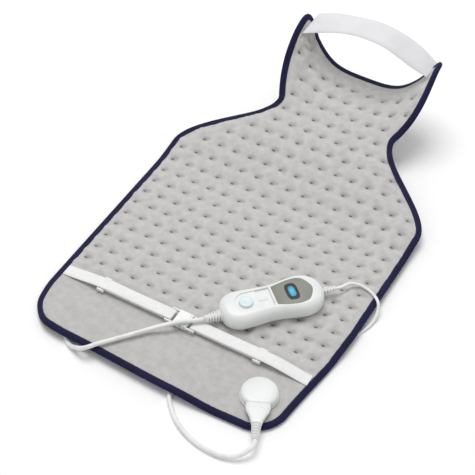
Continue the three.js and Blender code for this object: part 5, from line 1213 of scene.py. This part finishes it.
def hollowed(piece, wall_mm, open_height, keep_above):
    """Takes the flat face at the split away and gives what is left a wall."""
    bm = bmesh.new()
    bm.from_mesh(piece.data)
    sign = 1 if keep_above else -1
    level = (handset_origin.z + open_height) * MM
    flat = [face for face in bm.faces if all(abs(point.co.z - level) < 1e-6 for point in face.verts)
            and face.normal.z * sign < -0.9]
    bmesh.ops.delete(bm, geom=flat, context="FACES")
    bm.to_mesh(piece.data)
    bm.free()
    wall = piece.modifiers.new("wall", "SOLIDIFY")
    wall.thickness = wall_mm * MM
    wall.offset = -1
    bake_modifiers(piece)


def soft_edges(piece, width_mm):
    """Joins what a cut left in pieces, then rounds the edges."""
    whole_faces(piece.data, piece.data, 2e-6, 0.3)
    smooth_with_round_edges(piece, width_mm, 32)


# %% [markdown]
# The top has a D-shaped recess for the slide switch and a seat for the grey panel. The
# cutters are flat outlines given a height. The lower shell only needs the two holes
# where the strain reliefs come out.

# %% Cutters
PANEL_HALF = [(2.5, 16.5), (22, 21.1), (36, 22.5), (47, 19.9), (54, 11.25)]
PANEL_MIDDLE, PANEL_END = (30.0, 0.0), 58
RECESS_X, RECESS_RADIUS, RECESS_END = -37, 17, -1.5
DISPLAY_X, HOLE_X = 28.5, 79


def panel_outline(clearance=0.0):
    line = smooth_line([(x, -y) for x, y in PANEL_HALF] + [(PANEL_END, 0)] + PANEL_HALF[::-1], 2.0)
    away = line - np.array(PANEL_MIDDLE)
    reach = np.linalg.norm(away, axis=1)[:, None]
    return [tuple(point) for point in np.array(PANEL_MIDDLE) + away * (1 + clearance / reach)]


def recess_outline():
    arc = [(RECESS_X + RECESS_RADIUS * cos(angle), RECESS_RADIUS * sin(angle))
           for angle in np.linspace(pi / 2, 1.5 * pi, 33)]
    return arc + [(RECESS_END, -RECESS_RADIUS), (RECESS_END, RECESS_RADIUS)]


def display_outline(length, width):
    """A rounded rectangle, between an ellipse and a box."""
    return [(DISPLAY_X + copysign(abs(cos(a)) ** 0.6, cos(a)) * length / 2,
             copysign(abs(sin(a)) ** 0.6, sin(a)) * width / 2)
            for a in np.linspace(0, 2 * pi, 48, endpoint=False)]


def box_outline(low_x, high_x, half_y):
    return [(low_x, -half_y), (high_x, -half_y), (high_x, half_y), (low_x, half_y)]


def relief_hole(side, radius):
    bm = bmesh.new()
    bmesh.ops.create_cone(bm, cap_ends=True, segments=40, radius1=radius, radius2=radius, depth=40,
                          matrix=Matrix.Rotation(pi / 2, 4, "Y"))
    for point in bm.verts:
        x, y, z = point.co
        point.co = handset_place(side * HOLE_X + x, y, HANDSET_CORD + z)
    return to_object(bm, "hole", abs_white, smooth=False)


WALL, SPLIT, LEAD_HOLE, MAINS_HOLE = 1.9, 12.6, 8.8, 6.1
handset_upper = loft("controller_top", [
    (SPLIT + 0.3, 0), (17, 0.7), (20.5, 2.2), (23.2, 4.4), (25.2, 7.4), (26, 10.5)])
cut_away(handset_upper, cutter("recess", recess_outline(), 23.0, 34.0, draft=0.05),
         cutter("panel_seat", panel_outline(0.25), 24.3, 34.0))
hollowed(handset_upper, WALL, SPLIT + 0.3, True)
cut_away(handset_upper, cutter("stem_slot", box_outline(-46.6, -29.4, 1.6), 15.0, 26.0),
         cutter("display_hole", display_outline(18.6, 30.6), 15.0, 30.0),
         relief_hole(-1, LEAD_HOLE), relief_hole(1, MAINS_HOLE))
soft_edges(handset_upper, 0.45)
belongs(handset_upper, "pad", "housing", "handset_upper_shell")

handset_lower = loft("controller_bottom", [
    (0, 7), (1.2, 4), (3.6, 1.6), (7, 0.4), (10, 0), (SPLIT, 0)])
hollowed(handset_lower, WALL, SPLIT, False)
cut_away(handset_lower, relief_hole(-1, LEAD_HOLE), relief_hole(1, MAINS_HOLE))
soft_edges(handset_lower, 0.3)
belongs(handset_lower, "pad", "housing", "handset_lower_shell")
print("controller shells of", len(handset_upper.data.polygons), "and",
      len(handset_lower.data.polygons), "faces")

# %% [markdown]
# Between the recess and the panel stands a low white bar. The switch mark in the
# recess is a thin raised wedge, which shows the way to slide for more heat.

# %% Bar, mark and knob


def raised_plate(name, line, low, high, material, slot, node=None, bevel_mm=0.3):
    made = cutter(name, line, low, high)
    made.data.materials.clear()
    made.data.materials.append(material)
    soft_edges(made, bevel_mm)
    return belongs(made, "pad", slot, *([node] if node else []))


raised_plate("controller_bar", box_outline(-0.9, 2.0, 12.2), 25.2, 26.8, abs_white, "housing")
raised_plate("switch_wedge", [(-27, 0), (-7, -3), (-7, 3)], 22.9, 23.6, knob_plastic, "knob",
             "switch_mark", 0.2)


KNOB_X, KNOB_BASE = -38.5, 23.9
GROOVES, GROOVE_DEPTH, GROOVE_REACH = (-3.2, 0, 3.2), 0.25, 0.7


def knob_place(height, y, x):
    """Three shallow grip grooves run across the thumb's way on the knob's top."""
    if height > 4.0 and abs(y) < 6:
        height -= GROOVE_DEPTH * sum(exp(-((x - at) / GROOVE_REACH) ** 2) for at in GROOVES)
    return handset_place(KNOB_X + x, y, KNOB_BASE + height)


knob_profile = [(0, 0), (0, 9.0), (0.2, 9.6), (0.8, 10), (2.6, 10), (3.5, 9.7), (4.2, 9.0),
                (4.55, 8.0), (4.5, 6.4), (4.2, 4.0), (4.05, 0)]
knob = turned_part("slide_knob", knob_profile, knob_place, knob_plastic, 56)
belongs(knob, "switch", "knob", "switch_knob")
print("switch made")

# %% [markdown]
# The panel is a satin sprayed inlay, grey with a little olive. The display behind it is
# a lit LCD in a gloss black frame. The lit part is a shade brighter in its middle,
# because its lamp stands there, and it is plain, without any lettering.

# %% Panel and display
panel_paint = finished("satin_sprayed_grey", "83847A", 0.4, ("727369", "84857B"),
                       (1.2, 2, 0.02, 0.3), (45, 1), Metallic=0.15)
raised_plate("grey_panel", panel_outline(), 24.4, 26.0, panel_paint, "panel", "display_panel", 0.25)

gloss_black = finished("gloss_black_pmma", "101214", 0.12, ("0E1012", "16191B"), fleck=(6, 2),
                       gloss=(0.08, 0.18), Coat_Weight=0.4, Coat_Roughness=0.05)
raised_plate("display_surround", display_outline(18, 30), 23.0, 26.5, gloss_black, "display_frame",
             "display_frame", 0.6)

lcd = new_material("lit_lcd", "2A93B5", 0.12, Coat_Weight=0.5, Coat_Roughness=0.04,
                   Emission_Strength=0.35)
lcd_place = add_node(lcd, "UVMap", uv_map="glass").outputs["UV"]
lcd_glow = add_node(lcd, "TexGradient", [("Vector", lcd_place)], gradient_type="SPHERICAL")
plug_in(lcd, "Emission Color", tone(lcd, lcd_glow.outputs["Fac"], "1F6F97", "49B9D2", 0.0, 1.0))
LENS_LENGTH, LENS_WIDTH = 9.6, 19.0
lens = raised_plate("display_glass", display_outline(LENS_LENGTH, LENS_WIDTH), 25.0, 26.55, lcd,
                    "display_lens", "display_lens", 0.2)
lens_uv = lens.data.uv_layers.new(name="glass")
lens_middle = handset_place(DISPLAY_X, 0, 26)
for loop_corner in lens.data.loops:
    away = lens.data.vertices[loop_corner.vertex_index].co - lens_middle
    across_lens = away.x * cos(handset_turn) + away.y * sin(handset_turn)
    up_lens = -away.x * sin(handset_turn) + away.y * cos(handset_turn)
    lens_uv.data[loop_corner.index].uv = (across_lens / (LENS_LENGTH * 0.6 * MM),
                                          up_lens / (LENS_WIDTH * 0.6 * MM))
print("display made")

# %% [markdown]
# The parts inside the housings and under the covers keep the frame's shapes, since
# they hardly show, but each gets its real material: nickel-plated steel for screws and
# rivets, brass for the contacts, a glass-fibre board, and silicone for the wire.

# %% Materials of the small parts
steel = finished("nickel_plated_steel", "B9BBBC", 0.3, ("AEB0B2", "C6C8C9"), fleck=(2, 3),
                 gloss=(0.22, 0.42), Metallic=1.0)
brass = finished("turned_brass", "B9975A", 0.3, ("AE8B4E", "C8A669"), fleck=(2, 3),
                 gloss=(0.22, 0.4), Metallic=1.0)
FINE_SKIN = (1.0, 2, 0.03, 0.4)
board_green = finished("glass_fibre_board", "2F6B46", 0.45, ("295F3D", "35784F"), FINE_SKIN)
dark_plastic = finished("moulded_nylon_black", "2C2C2E", 0.5, ("262628", "343436"), FINE_SKIN)
silicone_red = finished("silicone_heating_wire", "A8473A", 0.5, ("9C4034", "B35245"),
                        (2, 2, 0.03, 0.4))
fuse_sleeve = finished("woven_glass_sleeve", "E4E2DA", 0.7, ("D9D7CE", "ECEAE3"),
                       (1.0, 2, 0.05, 0.5))

finish_of = {
    steel: """socket_backplate socket_rivet_left socket_rivet_right connector_screw_1
              connector_screw_2 lcd_module handset_screw_1 handset_screw_2 handset_screw_3
              handset_screw_4""",
    brass: """socket_pin_left socket_pin_right connector_sleeve_left connector_sleeve_right
              lead_terminals mains_terminals mains_plug_pin_left mains_plug_pin_right""",
    board_green: "circuit_board",
    dark_plastic: "thermal_cutout switch_carriage switch_body power_triac cord_tie",
    silicone_red: "heating_wire",
    fuse_sleeve: "board_fuse",
}
for material, names in finish_of.items():
    for name in names.split():
        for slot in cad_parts[name].material_slots:
            slot.material = material
print(sum(len(names.split()) for names in finish_of.values()), "small parts finished")

# %% [markdown]
# The object lies on a plain white floor, large enough that its edge is out of sight. The
# floor keeps the soft shadow near the pad's edges and goes to plain white further out.

# %% Floor
FLOOR_HALF, FLOOR_HEIGHT = 6, -0.0004
floor_bm = bmesh.new()
bmesh.ops.create_grid(floor_bm, x_segments=2, y_segments=2, size=FLOOR_HALF)
for point in floor_bm.verts:
    point.co.z = FLOOR_HEIGHT
floor_white = new_material("white_studio_floor", "FFFFFF", 0.9, Specular_IOR_Level=0.0)
floor = to_object(floor_bm, "floor", floor_white)

# %% [markdown]
# The light is a product studio's: an even white surround and one large soft box above
# and behind the pad, to the left. Its side gives the tufts their shade, and the strap
# and the controller their soft shadows. The surround lights the pad less strongly than
# it shows itself to the camera and in glossy faces, so the background stays white.

# %% Light
world = bpy.data.worlds.new("studio")
world.use_nodes = True
scene.world = world
background = world.node_tree.nodes["Background"]
background.inputs["Color"].default_value = (1, 1, 1, 1)
rays = add_node(world, "LightPath").outputs
seen = add_node(world, "Math", [(0, rays["Is Camera Ray"]), (1, rays["Is Transmission Ray"])],
                operation="MAXIMUM")
seen_in_gloss = add_node(world, "Math", [(0, seen.outputs[0]), (1, rays["Is Glossy Ray"])],
                         operation="MAXIMUM")
strength = add_node(world, "MapRange", [("Value", seen_in_gloss.outputs[0])], To_Min=0.58,
                    To_Max=1.0)
world.node_tree.links.new(strength.outputs["Result"], background.inputs["Strength"])

soft_box = bpy.data.lights.new("key", "AREA")
soft_box.shape, soft_box.size, soft_box.energy = "DISK", 3.0, 108
key = bpy.data.objects.new("key", soft_box)
scene.collection.objects.link(key)
key.location = (-0.9, 1.0, 4.3)
key.rotation_euler = (-key.location).to_track_quat("-Z", "Y").to_euler()
scene.view_settings.view_transform = "Standard"
